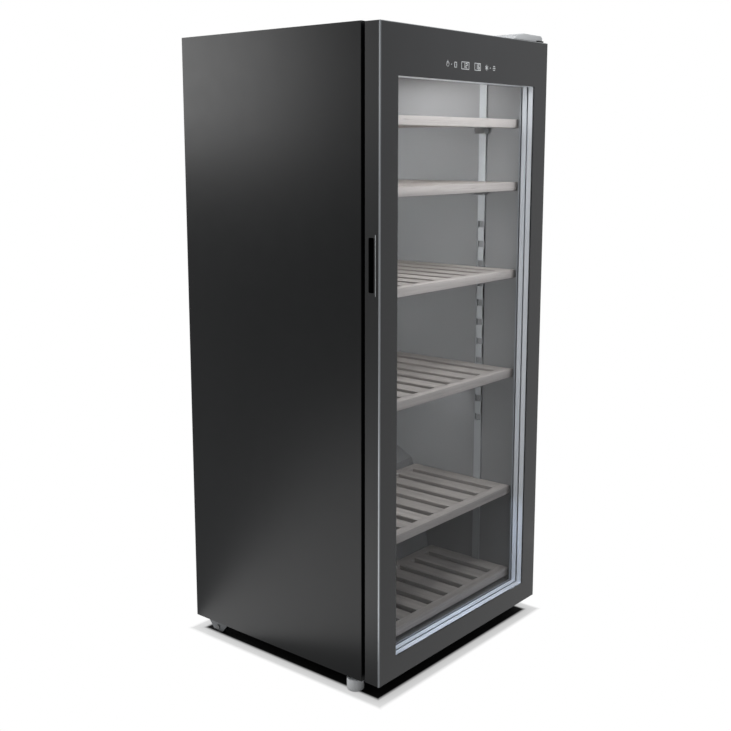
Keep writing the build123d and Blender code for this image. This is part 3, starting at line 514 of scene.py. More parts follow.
BEAD = Finish("glazing_bead_grey", "a4a8ac", 0.5)
# The ground edge's grey is partly the glass edge's own frosted tone and partly a painted highlight
# line.
EDGE_TONE_AND_HIGHLIGHT = Finish("ground_glass_edge", "6a6d70", 0.34, metallic=0.5, relief=0.2, relief_scale=1500.0)
INK = Finish("pale_ink", "dfe2e4", 0.5)


# ---------------------------------------------------------------- mesh and node tools


class Along(Enum):
    """The axis that an outline is pushed out along."""

    X = (1, 2, 0)
    Y = (0, 2, 1)
    Z = (0, 1, 2)

    def spot(self, first: float, second: float, run: float) -> Vector:
        """Place an outline's point at a distance along the axis.

        Args:
            first: The point's first number in the outline.
            second: Its second number.
            run: Distance along the axis.

        Returns:
            The point in the shared frame.
        """
        spot = Vector((0.0, 0.0, 0.0))
        for axis, value in zip(self.value, (first, second, run)):
            spot[axis] = value
        return spot


class Shape:
    """A mesh under construction, in the shared frame."""

    def __init__(self) -> None:
        """Start with an empty mesh."""
        self.mesh = bmesh.new()

    def block(self, low: Sequence[float], high: Sequence[float], round_off: float = 0.0) -> None:
        """Add a block with rounded edges.

        Args:
            low: Lowest corner.
            high: Highest corner.
            round_off: Radius of its edges.
        """
        outline = [(low[0], low[1]), (high[0], low[1]), (high[0], high[1]), (low[0], high[1])]
        self.prism(outline, Along.Z, low[2], high[2], round_off)

    def prism(
        self,
        outline: Sequence[Flat],
        along: Along,
        start: float,
        stop: float,
        round_off: float = 0.0,
        steps: int = 2,
    ) -> None:
        """Push an outline out along an axis and round its edges.

        Args:
            outline: Corners of the outline, in the other two axes' order.
            along: Axis to push along.
            start: Where the prism starts.
            stop: Where it ends.
            round_off: Radius of its edges.
            steps: Faces across each rounded edge.
        """
        lows = [self.mesh.verts.new(along.spot(a, b, start)) for a, b in outline]
        highs = [self.mesh.verts.new(along.spot(a, b, stop)) for a, b in outline]
        faces = [self.mesh.faces.new(lows[::-1]), self.mesh.faces.new(highs)]
        for k in range(len(outline)):
            after = (k + 1) % len(outline)
            faces.append(self.mesh.faces.new((lows[k], lows[after], highs[after], highs[k])))
        bmesh.ops.recalc_face_normals(self.mesh, faces=faces)
        if round_off:
            edges = list({edge for face in faces for edge in face.edges})
            bmesh.ops.bevel(
                self.mesh,
                geom=edges,
                offset=round_off,
                segments=steps,
                profile=BEVEL_PROFILE,
                affect="EDGES",
                clamp_overlap=True,
            )

    def sleeve(self, stations: Sequence[tuple[float, Flat, Flat]]) -> None:
        """Join upright rectangles that face the front into one closed ring.

        Args:
            stations: For each rectangle, its y, its lowest x and z, and its highest x and z.
        """
        loops = []
        for y, (left, bottom), (right, top) in stations:
            corners = ((left, bottom), (right, bottom), (right, top), (left, top))
            loops.append([self.mesh.verts.new((x, y, z)) for x, z in corners])
        faces = []
        for loop, after in zip(loops, loops[1:] + loops[:1]):
            for k in range(4):
                nxt = (k + 1) % 4
                faces.append(self.mesh.faces.new((loop[k], loop[nxt], after[nxt], after[k])))
        bmesh.ops.recalc_face_normals(self.mesh, faces=faces)

    def stroke(self, start: Flat, stop: Flat, width: float, front: float, back: float) -> None:
        """Add a printed line on a plane that faces the front.

        Args:
            start: Its first end, as x and z.
            stop: Its other end.
            width: How wide the line is.
            front: y of its front.
            back: y of its back.
        """
        run = Vector((stop[0] - start[0], stop[1] - start[1])).normalized() * width / 2
        side = Vector((-run.y, run.x))
        first, last = Vector(start) - run, Vector(stop) + run
        corners = [first + side, first - side, last - side, last + side]
        self.prism([(c.x, c.y) for c in corners], Along.Y, front, back)

    def hoop(self, centre: Flat, radius: float, width: float, front: float, back: float) -> None:
        """Add a printed ring of short lines on a plane that faces the front.

        Args:
            centre: Its middle, as x and z.
            radius: Radius at the middle of the line.
            width: How wide the line is.
            front: y of its front.
            back: y of its back.
        """
        steps = 20
        turns = [math.tau * k / steps for k in range(steps)]
        spots = [
            (centre[0] + radius * math.cos(turn), centre[1] + radius * math.sin(turn))
            for turn in turns
        ]
        for k, spot in enumerate(spots):
            self.stroke(spot, spots[(k + 1) % steps], width, front, back)

    def take(self, obj: bpy.types.Object, *finishes: Finish) -> None:
        """Add another object's mesh and delete that object.

        Args:
            obj: The object.
            *finishes: Finishes in the order that the finished piece gets them.
        """
        order = [finish.name for finish in finishes]
        numbers = [order.index(material.name) if material else 0 for material in obj.data.materials]
        for face in obj.data.polygons:
            face.material_index = numbers[face.material_index]
        self.mesh.from_mesh(obj.data)
        bpy.data.objects.remove(obj)

    def loose(self, name: str) -> bpy.types.Object:
        """Turn the mesh into an object that is not yet in the scene.

        Args:
            name: The object's name.

        Returns:
            The new object.
        """
        data = bpy.data.meshes.new(name)
        self.mesh.to_mesh(data)
        self.mesh.free()
        return bpy.data.objects.new(name, data)

    def piece(self, name: str, body: str, slot: str, *finishes: Finish) -> bpy.types.Object:
        """Turn the mesh into a finished piece that rides on a body.

        Args:
            name: The piece's name.
            body: Body that it rides on.
            slot: The record's material slot; not used.
            *finishes: Finishes in the order of the mesh's material numbers.

        Returns:
            The new object.
        """
        obj = self.loose(name)
        for finish in finishes:
            obj.data.materials.append(finish.material())
        return settle(obj, body)


def settle(obj: bpy.types.Object, body: str) -> bpy.types.Object:
    """Smooth a new piece, put it in the scene and let it ride on a body.

    Args:
        obj: The piece.
        body: Body that it rides on.

    Returns:
        The same object.
    """
    bpy.context.collection.objects.link(obj)
    obj.data.shade_smooth()
    obj.data.set_sharp_from_angle(angle=SHARP_ANGLE)
    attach(obj, body)
    log.info("piece %s rides on %s, %d faces", obj.name, body, len(obj.data.polygons))
    return obj


class Tree:
    """A Geometry Nodes tree that is built here and baked to a plain mesh."""

    def __init__(self, name: str) -> None:
        """Open an empty tree.

        Args:
            name: The tree's name.
        """
        self.name = name
        self.tree = bpy.data.node_groups.new(name, "GeometryNodeTree")
        self.tree.interface.new_socket(
            "Geometry", in_out="OUTPUT", socket_type="NodeSocketGeometry"
        )
        self.values: dict[str, object] = {}
        self.ends: list[bpy.types.NodeSocket] = []

    def size(self, name: str, value: object) -> bpy.types.NodeSocket:
        """Add a named input to the tree.

        Args:
            name: The input's name.
            value: A whole number, a number, a vector or an object.

        Returns:
            The output that gives the input inside the tree.
        """
        kind = "Float"
        if isinstance(value, int):
            kind = "Int"
        elif isinstance(value, bpy.types.Object):
            kind = "Object"
        elif not isinstance(value, float):
            kind = "Vector"
        socket = self.tree.interface.new_socket(
            name, in_out="INPUT", socket_type=f"NodeSocket{kind}"
        )
        self.values[socket.identifier] = value
        source = self.tree.nodes.new("NodeGroupInput")
        return next(out for out in source.outputs if out.identifier == socket.identifier)

    def add(self, kind: str, inputs: dict[str, object], **options: object) -> bpy.types.NodeSocket:
        """Add a node.

        Args:
            kind: Node type without Blender's GeometryNode prefix, or with another prefix in full.
            inputs: Input names, each with a number or an output to link.
            **options: The node's own settings.

        Returns:
            The node's first output.
        """
        node = self.tree.nodes.new(kind if "Node" in kind else f"GeometryNode{kind}")
        for name, value in options.items():
            setattr(node, name, value)
        for name, value in inputs.items():
            socket = node.inputs[name]
            for one in value if isinstance(value, list) else [value]:
                if isinstance(one, bpy.types.NodeSocket):
                    self.tree.links.new(one, socket)
                else:
                    socket.default_value = one
        return node.outputs[0]

    def vector(self, x: object, y: object, z: object) -> bpy.types.NodeSocket:
        """Join three numbers or outputs to a vector."""
        return self.add("ShaderNodeCombineXYZ", {"X": x, "Y": y, "Z": z})

    def bar(
        self, width: object, height: object, start: object, stop: object, round_off: float
    ) -> bpy.types.NodeSocket:
        """Run a rounded rectangle from one point to another.

        Args:
            width: First size of the section.
            height: Second size of the section.
            start: Where the bar starts.
            stop: Where it ends.
            round_off: Radius of its long edges.

        Returns:
            The bar's mesh output.
        """
        section = self.add("CurvePrimitiveQuadrilateral", {"Width": width, "Height": height})
        rounded = self.add(
            "FilletCurve", {"Curve": section, "Radius": round_off, "Count": 3}, mode="POLY"
        )
        line = self.add("CurvePrimitiveLine", {"Start": start, "End": stop})
        return self.add("CurveToMesh", {"Curve": line, "Profile Curve": rounded, "Fill Caps": True})

    def less(
        self, first: bpy.types.NodeSocket, second: bpy.types.NodeSocket
    ) -> bpy.types.NodeSocket:
        """Take one number from another."""
        return self.add("ShaderNodeMath", {0: first, 1: second}, operation="SUBTRACT")

    def moved(
        self, mesh: bpy.types.NodeSocket, shift: object, turn: Point = (0.0, 0.0, 0.0)
    ) -> bpy.types.NodeSocket:
        """Turn a mesh and move it.

        Args:
            mesh: The mesh output.
            shift: How far to move it.
            turn: Angles about x, y and z.

        Returns:
            The moved mesh.
        """
        return self.add("Transform", {"Geometry": mesh, "Translation": shift, "Rotation": turn})

    def thing(self, name: str, obj: bpy.types.Object) -> bpy.types.NodeSocket:
        """Read another object's mesh through a named input.

        Args:
            name: The input's name.
            obj: The object.

        Returns:
            The object's mesh.
        """
        node = self.tree.nodes.new("GeometryNodeObjectInfo")
        self.tree.links.new(self.size(name, obj), node.inputs["Object"])
        return node.outputs["Geometry"]

    def copies(
        self, points: bpy.types.NodeSocket, shape: bpy.types.NodeSocket
    ) -> bpy.types.NodeSocket:
        """Put a copy of a shape on each point and make the copies real.

        Args:
            points: Points to stand on.
            shape: The shape.

        Returns:
            The mesh output.
        """
        placed = self.add("InstanceOnPoints", {"Points": points, "Instance": shape})
        return self.add("RealizeInstances", {"Geometry": placed})

    def end(self, mesh: bpy.types.NodeSocket, finish: Finish) -> None:
        """Give a mesh its finish and send it to the tree's result.

        Args:
            mesh: The mesh output.
            finish: Its finish.
        """
        self.ends.append(self.add("SetMaterial", {"Geometry": mesh, "Material": finish.material()}))

    def bake(self, name: str) -> bpy.types.Object:
        """Run the tree once and keep its result as a plain mesh.

        Args:
            name: Name of the object.

        Returns:
            An object at the origin with no modifier.
        """
        result = self.tree.nodes.new("NodeGroupOutput")
        joined = self.add("JoinGeometry", {"Geometry": self.ends})
        self.tree.links.new(joined, result.inputs[0])
        host = bpy.data.objects.new(name, bpy.data.meshes.new(name))
        bpy.context.collection.objects.link(host)
        modifier = host.modifiers.new(self.name, "NODES")
        modifier.node_group = self.tree
        for identifier, value in self.values.items():
            modifier[identifier] = value
        bpy.context.view_layer.update()
        graph = bpy.context.evaluated_depsgraph_get()
        baked = bpy.data.meshes.new_from_object(host.evaluated_get(graph), depsgraph=graph)
        host.modifiers.remove(modifier)
        host.data = baked
        return host


# ---------------------------------------------------------------- sub-assemblies


@dataclass
class Assembly:
    """A sub-assembly of the cooler, around the nodes of the loaded frame."""

    frame: dict

    def dress(self) -> None:
        """Give the nodes their finishes, where the sub-assembly keeps any."""

    def build(self) -> None:
        """Build the pieces, where the sub-assembly adds any."""

    def coat(self, finish: Finish, *nodes: str) -> None:
        """Give CAD nodes a finish.

        Args:
            finish: The finish.
            *nodes: Names of the nodes.
        """
        for name in nodes:
            slots = self.frame["nodes"][name].data.materials
            slots.clear()
            slots.append(finish.material())
            log.info("node %s is dressed in %s", name, finish.name)


@dataclass
class SteelCase(Assembly):
    """The cabinet's steel shell with its back, base and hinge hardware."""

    cover_drop: float = 0.003
    cover_set_back: float = 0.008
    cover_round: float = 0.0024
    cover_round_steps: int = 3
    shoulder_drop: float = 0.004
    right_run: float = 0.006
    right_drop: float = 0.0005
    left_ridge: float = 0.04
    left_shoulder: float = 0.012

    def dress(self) -> None:
        """Give the shell's nodes their finishes."""
        self.coat(STEEL_BLACK, "side_panel_left", "side_panel_right")
        self.coat(STEEL_TOP, "top_panel")
        self.coat(ZINC, "base_pan", "bay_plate", "bay_cover", "back_panel")
        self.coat(ZINC, "rear_screws", "hinge_screws")
        self.coat(BRACKET_GREY, "roller_brackets")
        self.coat(STEEL_BLACK, "hinge_bracket_top", "hinge_bracket_bottom")
        self.coat(PLASTIC_BLACK, "roller_axles")
        self.coat(PLASTIC_BLACK, "cord_gland", "foot_sockets")
        self.coat(COVER_SILVER, "hinge_cover")
        self.coat(FOAM, "insulation_foam")

    def build(self) -> None:
        """Build the moulded cover over the upper hinge in place of its node."""
        low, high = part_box("hinge_cover")
        foot, top = low.z, high.z - self.cover_drop
        outline = [
            (low.x, foot),
            (high.x, foot),
            (high.x, top - self.shoulder_drop),
            (high.x - self.right_run, top - self.right_drop),
            (low.x + self.left_ridge, top),
            (low.x + self.left_shoulder, top - self.shoulder_drop),
        ]
        cover = Shape()
        front = low.y + self.cover_set_back
        cover.prism(outline, Along.Y, front, high.y, self.cover_round, self.cover_round_steps)
        shell = cover.piece("hinge_cover_shell", CABINET, "cover_silver", COVER_SILVER)
        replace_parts(shell, "hinge_cover")


@dataclass
class Interior(Assembly):
    """The liner with its strips, clips, air duct and lamp."""

    def dress(self) -> None:
        """Give the inside's nodes their finishes."""
        self.coat(LINER, "inner_liner", "duct_cover")
        self.coat(STRIP, "shelf_strips_front", "shelf_strips_rear", "shelf_clips", "lamp_housing")
        self.coat(LAMP, "lamp_cover")
        self.coat(ALUMINIUM, "cooling_coil")
        self.coat(PLASTIC_BLACK, "fan_motor", "fan_wheel")


@dataclass
class ShelfStrips(Assembly):
    """Slotted strips up both side walls, built as ladders."""

    thick: float = 0.004
    slots: int = 11
    pitch: float = 0.0467
    middle: float = 0.7012
    slot_high: float = 0.0155
    edge: float = 0.0014

    def build(self) -> None:
        """Build the front and the rear pair in place of their nodes."""
        for node in ("shelf_strips_front", "shelf_strips_rear"):
            self.build_pair(node)

    def build_pair(self, node: str) -> None:
        """Build one pair of strips from a tree.

        Args:
            node: The CAD node that the pair stands for.
        """
        low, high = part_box(node)
        wide = high.y - low.y
        first = self.middle - (self.slots - 1) / 2 * self.pitch
        zone_low = first - self.slot_high / 2
        zone_high = 2 * self.middle - zone_low
        tree = Tree(f"{node}_tree")
        thick, width = tree.size("Thickness", self.thick), tree.size("Strip Width", wide)
        edge, pitch = tree.size("Edge Width", self.edge), tree.size("Slot Pitch", self.pitch)
        rung = tree.vector(thick, width, tree.less(pitch, tree.size("Slot Height", self.slot_high)))
        rungs = tree.add(
            "MeshLine",
            {
                "Count": tree.size("Rungs", self.slots - 1),
                "Start Location": (0.0, 0.0, first + self.pitch / 2),
                "Offset": tree.vector(0.0, 0.0, pitch),
            },
        )
        parts = [tree.copies(rungs, tree.add("MeshCube", {"Size": rung}))]
        for start, stop in ((low.z, zone_low), (zone_high, high.z)):
            plate = tree.add("MeshCube", {"Size": tree.vector(thick, width, stop - start)})
            parts.append(tree.moved(plate, (0.0, 0.0, (start + stop) / 2)))
        for side in (-1, 1):
            rail = tree.add("MeshCube", {"Size": tree.vector(thick, edge, zone_high - zone_low)})
            parts.append(tree.moved(rail, (0.0, side * (wide - self.edge) / 2, self.middle)))
        strip = tree.add("JoinGeometry", {"Geometry": parts})
        reach = high.x - self.thick / 2
        walls = tree.add(
            "MeshLine",
            {
                "Count": 2,
                "Start Location": (-reach, (low.y + high.y) / 2, 0.0),
                "Offset": (2 * reach, 0.0, 0.0),
            },
        )
        tree.end(tree.copies(walls, strip), STRIP)
        ladder = Shape()
        ladder.take(tree.bake(f"{node}_tree_mesh"), STRIP)
        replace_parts(ladder.piece(f"{node}_ladder", CABINET, "strip_grey", STRIP), node)


@dataclass
class RearLouvres(Assembly):
    """Pressed hoods over the upper side of the slots of the bay's cover."""

    columns: int = 8
    rows: int = 9
    pitch_x: float = 0.06
    pitch_z: float = 0.02
    length: float = 0.048
    high: float = 0.009
    lip: float = 0.0022
    sheet: float = 0.0006
    rise: float = 0.004
    steps: int = 6

    def build(self) -> None:
        """Build every hood from a tree."""
        low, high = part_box("bay_cover")
        hood = self.hood()
        tree = Tree("louvre_tree")
        grid = tree.add(
            "MeshGrid",
            {
                "Size X": (self.columns - 1) * self.pitch_x,
                "Size Y": (self.rows - 1) * self.pitch_z,
                "Vertices X": tree.size("Columns", self.columns),
                "Vertices Y": tree.size("Rows", self.rows),
            },
        )
        middle = (0.0, high.y, (low.z + high.z) / 2 + self.rise)
        upright = tree.moved(grid, middle, (math.pi / 2, 0.0, 0.0))
        tree.end(tree.copies(upright, tree.thing("Hood", hood)), ZINC)
        louvres = Shape()
        louvres.take(tree.bake("louvre_tree_mesh"), ZINC)
        bpy.data.objects.remove(hood)
        louvres.piece("bay_louvres", CABINET, "zinc_steel", ZINC)

    def hood(self) -> bpy.types.Object:
        """Make one hood about the origin, open at its lower side.

        Returns:
            The hood.
        """
        outer, inner = [], []
        for k in range(self.steps + 1):
            turn = math.pi / 2 * k / self.steps
            for curve, skin in ((outer, 0.0), (inner, self.sheet)):
                out, up = self.lip - skin, self.high - skin
                curve.append((out * math.sin(turn), up * (math.cos(turn) - 0.5)))
        shape = Shape()
        half = self.length / 2
        shape.prism(outer + inner[::-1], Along.X, -half, half)
        for side in (-1, 1):
            ends = sorted((side * half, side * (half - self.sheet)))
            shape.prism(outer + [(0.0, -self.high / 2)], Along.X, *ends)
        return shape.loose("louvre_hood")


@dataclass
class ScrewHeads(Assembly):
    """Domed cross-slot screws along the cabinet's rear lips."""

    radius: float = 0.004
    shank: float = 0.0018
    cross_long: float = 0.0024
    cross_wide: float = 0.0006
    cross_deep: float = 0.0012
    cross_floor: float = 0.8
    side_rise: float = 0.45
    shoulder_rise: float = 0.8
    shoulder_reach: float = 0.86
    steps: int = 24

    def build(self) -> None:
        """Build every screw from a tree in place of the CAD screws."""
        node = "rear_screws"
        low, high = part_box(node)
        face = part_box("side_panel_left")[1].y
        places = Shape()
        for x, z in self.places(node):
            places.mesh.verts.new((x, face, z))
        points, head = places.loose("screw_places"), self.head(high.y - face, face - low.y)
        tree = Tree("screw_tree")
        tree.end(tree.copies(tree.thing("Places", points), tree.thing("Screw", head)), ZINC)
        screws = Shape()
        screws.take(tree.bake("screw_tree_mesh"), ZINC)
        for spare in (points, head):
            bpy.data.objects.remove(spare)
        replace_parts(screws.piece("rear_screw_heads", CABINET, "zinc_steel", ZINC), node)

    def places(self, node: str) -> list[Flat]:
        """Find the screws' middles from the corners of the CAD mesh.

        Args:
            node: The CAD node.

        Returns:
            Each screw's x and z.
        """
        groups: list[list[Vector]] = []
        for vertex in self.frame["nodes"][node].data.vertices:
            for group in groups:
                if (group[0] - vertex.co).xz.length < 4 * self.radius:
                    group.append(vertex.co)
                    break
            else:
                groups.append([vertex.co])
        middles = []
        for group in groups:
            xs, zs = [spot.x for spot in group], [spot.z for spot in group]
            middles.append(((min(xs) + max(xs)) / 2, (min(zs) + max(zs)) / 2))
        return middles

    def head(self, rise: float, depth: float) -> bpy.types.Object:
        """Make one screw about the origin, with its head towards the back.

        Args:
            rise: Height of the head.
            depth: Length of the shank.

        Returns:
            The screw.
        """
        turns = [math.tau * k / self.steps for k in range(self.steps)]
        profile = (
            (self.shank, -depth),
            (self.shank, 0.0),
            (self.radius, 0.0),
            (self.radius, rise * self.side_rise),
            (self.radius * self.shoulder_reach, rise * self.shoulder_rise),
        )
        reaches = [([radius] * self.steps, y) for radius, y in profile]
        for share, y in ((1.0, rise), (self.cross_floor, rise - self.cross_deep)):
            reaches.append(([share * self.cross(turn) for turn in turns], y))
        shape = Shape()
        rings = []
        for row, y in reaches:
            spots = [(r * math.cos(t), y, r * math.sin(t)) for r, t in zip(row, turns)]
            rings.append([shape.mesh.verts.new(spot) for spot in spots])
        for ring, after in zip(rings, rings[1:]):
            for k in range(self.steps):
                nxt = (k + 1) % self.steps
                shape.mesh.faces.new((ring[k], ring[nxt], after[nxt], after[k]))
        shape.mesh.faces.new(rings[0][::-1])
        shape.mesh.faces.new(rings[-1])
        bmesh.ops.recalc_face_normals(shape.mesh, faces=shape.mesh.faces)
        return shape.loose("screw_head")

    def cross(self, turn: float) -> float:
        """Give the cross slot's reach at an angle.

        Args:
            turn: The angle.

        Returns:
            The distance from the screw's middle to the slot's edge.
        """
        run, rise = max(abs(math.cos(turn)), 1e-6), max(abs(math.sin(turn)), 1e-6)
        long, wide = self.cross_long, self.cross_wide
        return max(min(long / run, wide / rise), min(wide / run, long / rise))


@dataclass
class WoodShelves(Assembly):
    """Six slatted beech shelves between the slotted strips."""

    count: int = 6
    front_rail: float = 0.022
    rear_rail: float = 0.024
    slats: int = 9
    slat_gap: float = 0.02
    slat_thick: float = 0.015
    round_off: float = 0.001
    notch_deep: float = 0.004
    notch_gap: float = 0.002
    overlap: float = 0.002

    def build(self) -> None:
        """Build every shelf in place of its CAD node."""
        for number in range(1, self.count + 1):
            self.build_one(f"shelf_{number}")

    def build_one(self, node: str) -> None:
        """Build one shelf: rails and inner slats from a tree, outer slats with their notches.

        Args:
            node: The CAD node that it stands for.
        """
        low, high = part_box(node)
        width = (high.x - low.x - (self.slats - 1) * self.slat_gap) / self.slats
        tree = Tree(f"{node}_tree")
        slat_width = tree.size("Slat Width", width)
        slat_thick = tree.size("Slat Thickness", self.slat_thick)
        shelf_thick = tree.size("Rail Thickness", high.z - low.z)
        start_y = low.y + self.front_rail - self.overlap
        stop_y = high.y - self.rear_rail + self.overlap
        pitch = width + self.slat_gap
        inner = self.slats - 2
        points = tree.add(
            "MeshLine",
            {
                "Count": tree.size("Inner Slats", inner),
                "Start Location": (-(inner - 1) / 2 * pitch, 0.0, high.z - self.slat_thick / 2),
                "Offset": tree.vector(tree.size("Pitch", pitch), 0.0, 0.0),
            },
        )
        ends = (0.0, start_y, 0.0), (0.0, stop_y, 0.0)
        slat = tree.bar(slat_width, slat_thick, *ends, self.round_off)
        tree.end(tree.copies(points, slat), SLAT_WOOD)
        middle = (low.z + high.z) / 2
        for depth, y in ((self.front_rail, low.y), (self.rear_rail, high.y - self.rear_rail)):
            rail = tree.bar(
                tree.size("Rail Depth", depth),
                shelf_thick,
                (low.x, y + depth / 2, middle),
                (high.x, y + depth / 2, middle),
                self.round_off,
            )
            tree.end(tree.add("RealizeInstances", {"Geometry": rail}), RAIL_WOOD)
        shelf = Shape()
        shelf.take(tree.bake(f"{node}_tree_mesh"), SLAT_WOOD, RAIL_WOOD)
        for side in (-1, 1):
            shelf.prism(
                self.outer_slat(side, low, high, width, start_y, stop_y),
                Along.Z,
                high.z - self.slat_thick,
                high.z,
                self.round_off,
            )
        obj = shelf.piece(f"{node}_wood", CABINET, "beech", SLAT_WOOD, RAIL_WOOD)
        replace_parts(obj, node)

    def outer_slat(
        self, side: int, low: Vector, high: Vector, width: float, start_y: float, stop_y: float
    ) -> list[Flat]:
        """Draw a slat beside the wall, notched round the strips.

        Args:
            side: -1 for the left wall, 1 for the right.
            low: Lowest corner of the shelf.
            high: Highest corner of it.
            width: Width of a slat.
            start_y: Front end of the slat.
            stop_y: Its rear end.

        Returns:
            The slat's outline as x and y.
        """
        wall = high.x if side > 0 else low.x
        edge = [(wall - side * width, start_y), (wall, start_y)]
        for node in ("shelf_strips_front", "shelf_strips_rear"):
            near, far = (corner.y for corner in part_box(node))
            near, far = near - self.notch_gap, far + self.notch_gap
            if far < stop_y:
                inside = wall - side * self.notch_deep
                edge += [(wall, near), (inside, near), (inside, far), (wall, far)]
        return edge + [(wall, stop_y), (wall - side * width, stop_y)]


@dataclass
class GlassDoor(Assembly):
    """The triple-glazed door with its printed front, frame, grip and seal."""

    skin: float = 0.00015
    edge_bevel: float = 0.0012
    pane_overlap: float = 0.0095
    fit: float = 0.00005
    highlight_strip_wide: float = 0.0014
    highlight_strip_round: float = 0.0002

    def dress(self) -> None:
        """Give the door's nodes their finishes."""
        self.coat(PANE_GLASS, "inner_panes")
        self.coat(SPACER, "spacer_bars")
        self.coat(BEAD, "glazing_beads")
        self.coat(PLASTIC_BLACK, "hinge_plugs", "stile_caps", "display_units")
        self.coat(FRAME, "door_stile_left", "door_stile_right")
        self.coat(FRAME, "door_rail_top", "door_rail_bottom", "grip_cup")
        self.coat(RUBBER, "door_gasket")
        self.coat(BOARD, "control_board")
        self.frame["nodes"]["inner_panes"].visible_shadow = False

    def build(self) -> None:
        """Build the front glass in place of its nodes, and a pale strip along the grip that is a
        painted highlight.
        """
        low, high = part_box("front_glass")
        self.front, self.back = low.y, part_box("glass_print")[1].y
        self.outer = (low.x, low.z), (high.x, high.z)
        window_low, window_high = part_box("inner_panes")
        self.window = (
            (window_low.x + self.pane_overlap, window_low.z + self.pane_overlap),
            (window_high.x - self.pane_overlap, window_high.z - self.pane_overlap),
        )
        self.build_border()
        self.build_window()
        self.build_edge()
        self.build_highlight_strip()

    def grown(self, rectangle: tuple[Flat, Flat], out: float) -> tuple[Flat, Flat]:
        """Give a rectangle with every side moved outwards."""
        (left, bottom), (right, top) = rectangle
        return (left - out, bottom - out), (right + out, top + out)

    def build_border(self) -> None:
        """Build the border of the glass with the black print behind it."""
        bevel = self.edge_bevel
        border = Shape()
        border.sleeve(
            [
                (self.front, *self.grown(self.outer, -bevel)),
                (self.front + bevel, *self.outer),
                (self.back, *self.outer),
                (self.back, *self.window),
                (self.front, *self.window),
            ]
        )
        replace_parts(border.piece("front_border", DOOR, "black_print", PRINT), "glass_print")

    def build_window(self) -> None:
        """Build the clear window of the front glass."""
        (left, bottom), (right, top) = self.grown(self.window, -self.fit)
        pane = Shape()
        pane.block((left, self.front, bottom), (right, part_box("front_glass")[1].y, top))
        glass = pane.piece("front_pane", DOOR, "clear_glass", DOOR_GLASS)
        glass.visible_shadow = False
        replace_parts(glass, "front_glass")

    def build_edge(self) -> None:
        """Build the ground edge that runs round the front glass; its grey is partly a painted
        highlight line.
        """
        bevel, skin = self.edge_bevel, self.skin
        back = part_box("front_glass")[1].y
        edge = Shape()
        edge.sleeve(
            [
                (self.front - skin, *self.grown(self.outer, -bevel)),
                (self.front + bevel, *self.grown(self.outer, skin)),
                (back, *self.grown(self.outer, skin)),
                (back, *self.outer),
                (self.front + bevel + skin, *self.outer),
                (self.front, *self.grown(self.outer, -bevel)),
            ]
        )
        edge.piece("glass_ground_edge", DOOR, "clear_glass", EDGE_TONE_AND_HIGHLIGHT)

    def build_highlight_strip(self) -> None:
        """Build a pale strip along the front side of the grip, a painted highlight line."""
        low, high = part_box("grip_cup")
        start = low.y + self.highlight_strip_wide / 2
        lip = Shape()
        # The strip stands in for the grip's highlight, so its pale grey is painted light.
        lip.block(
            (low.x - 2 * self.skin, start, low.z + self.highlight_strip_wide),
            (low.x + self.highlight_strip_wide, start + self.highlight_strip_wide, high.z - self.highlight_strip_wide),
            self.highlight_strip_round,
        )
        lip.piece("grip_lip", DOOR, "door_frame", LIP_HIGHLIGHT_GREY)


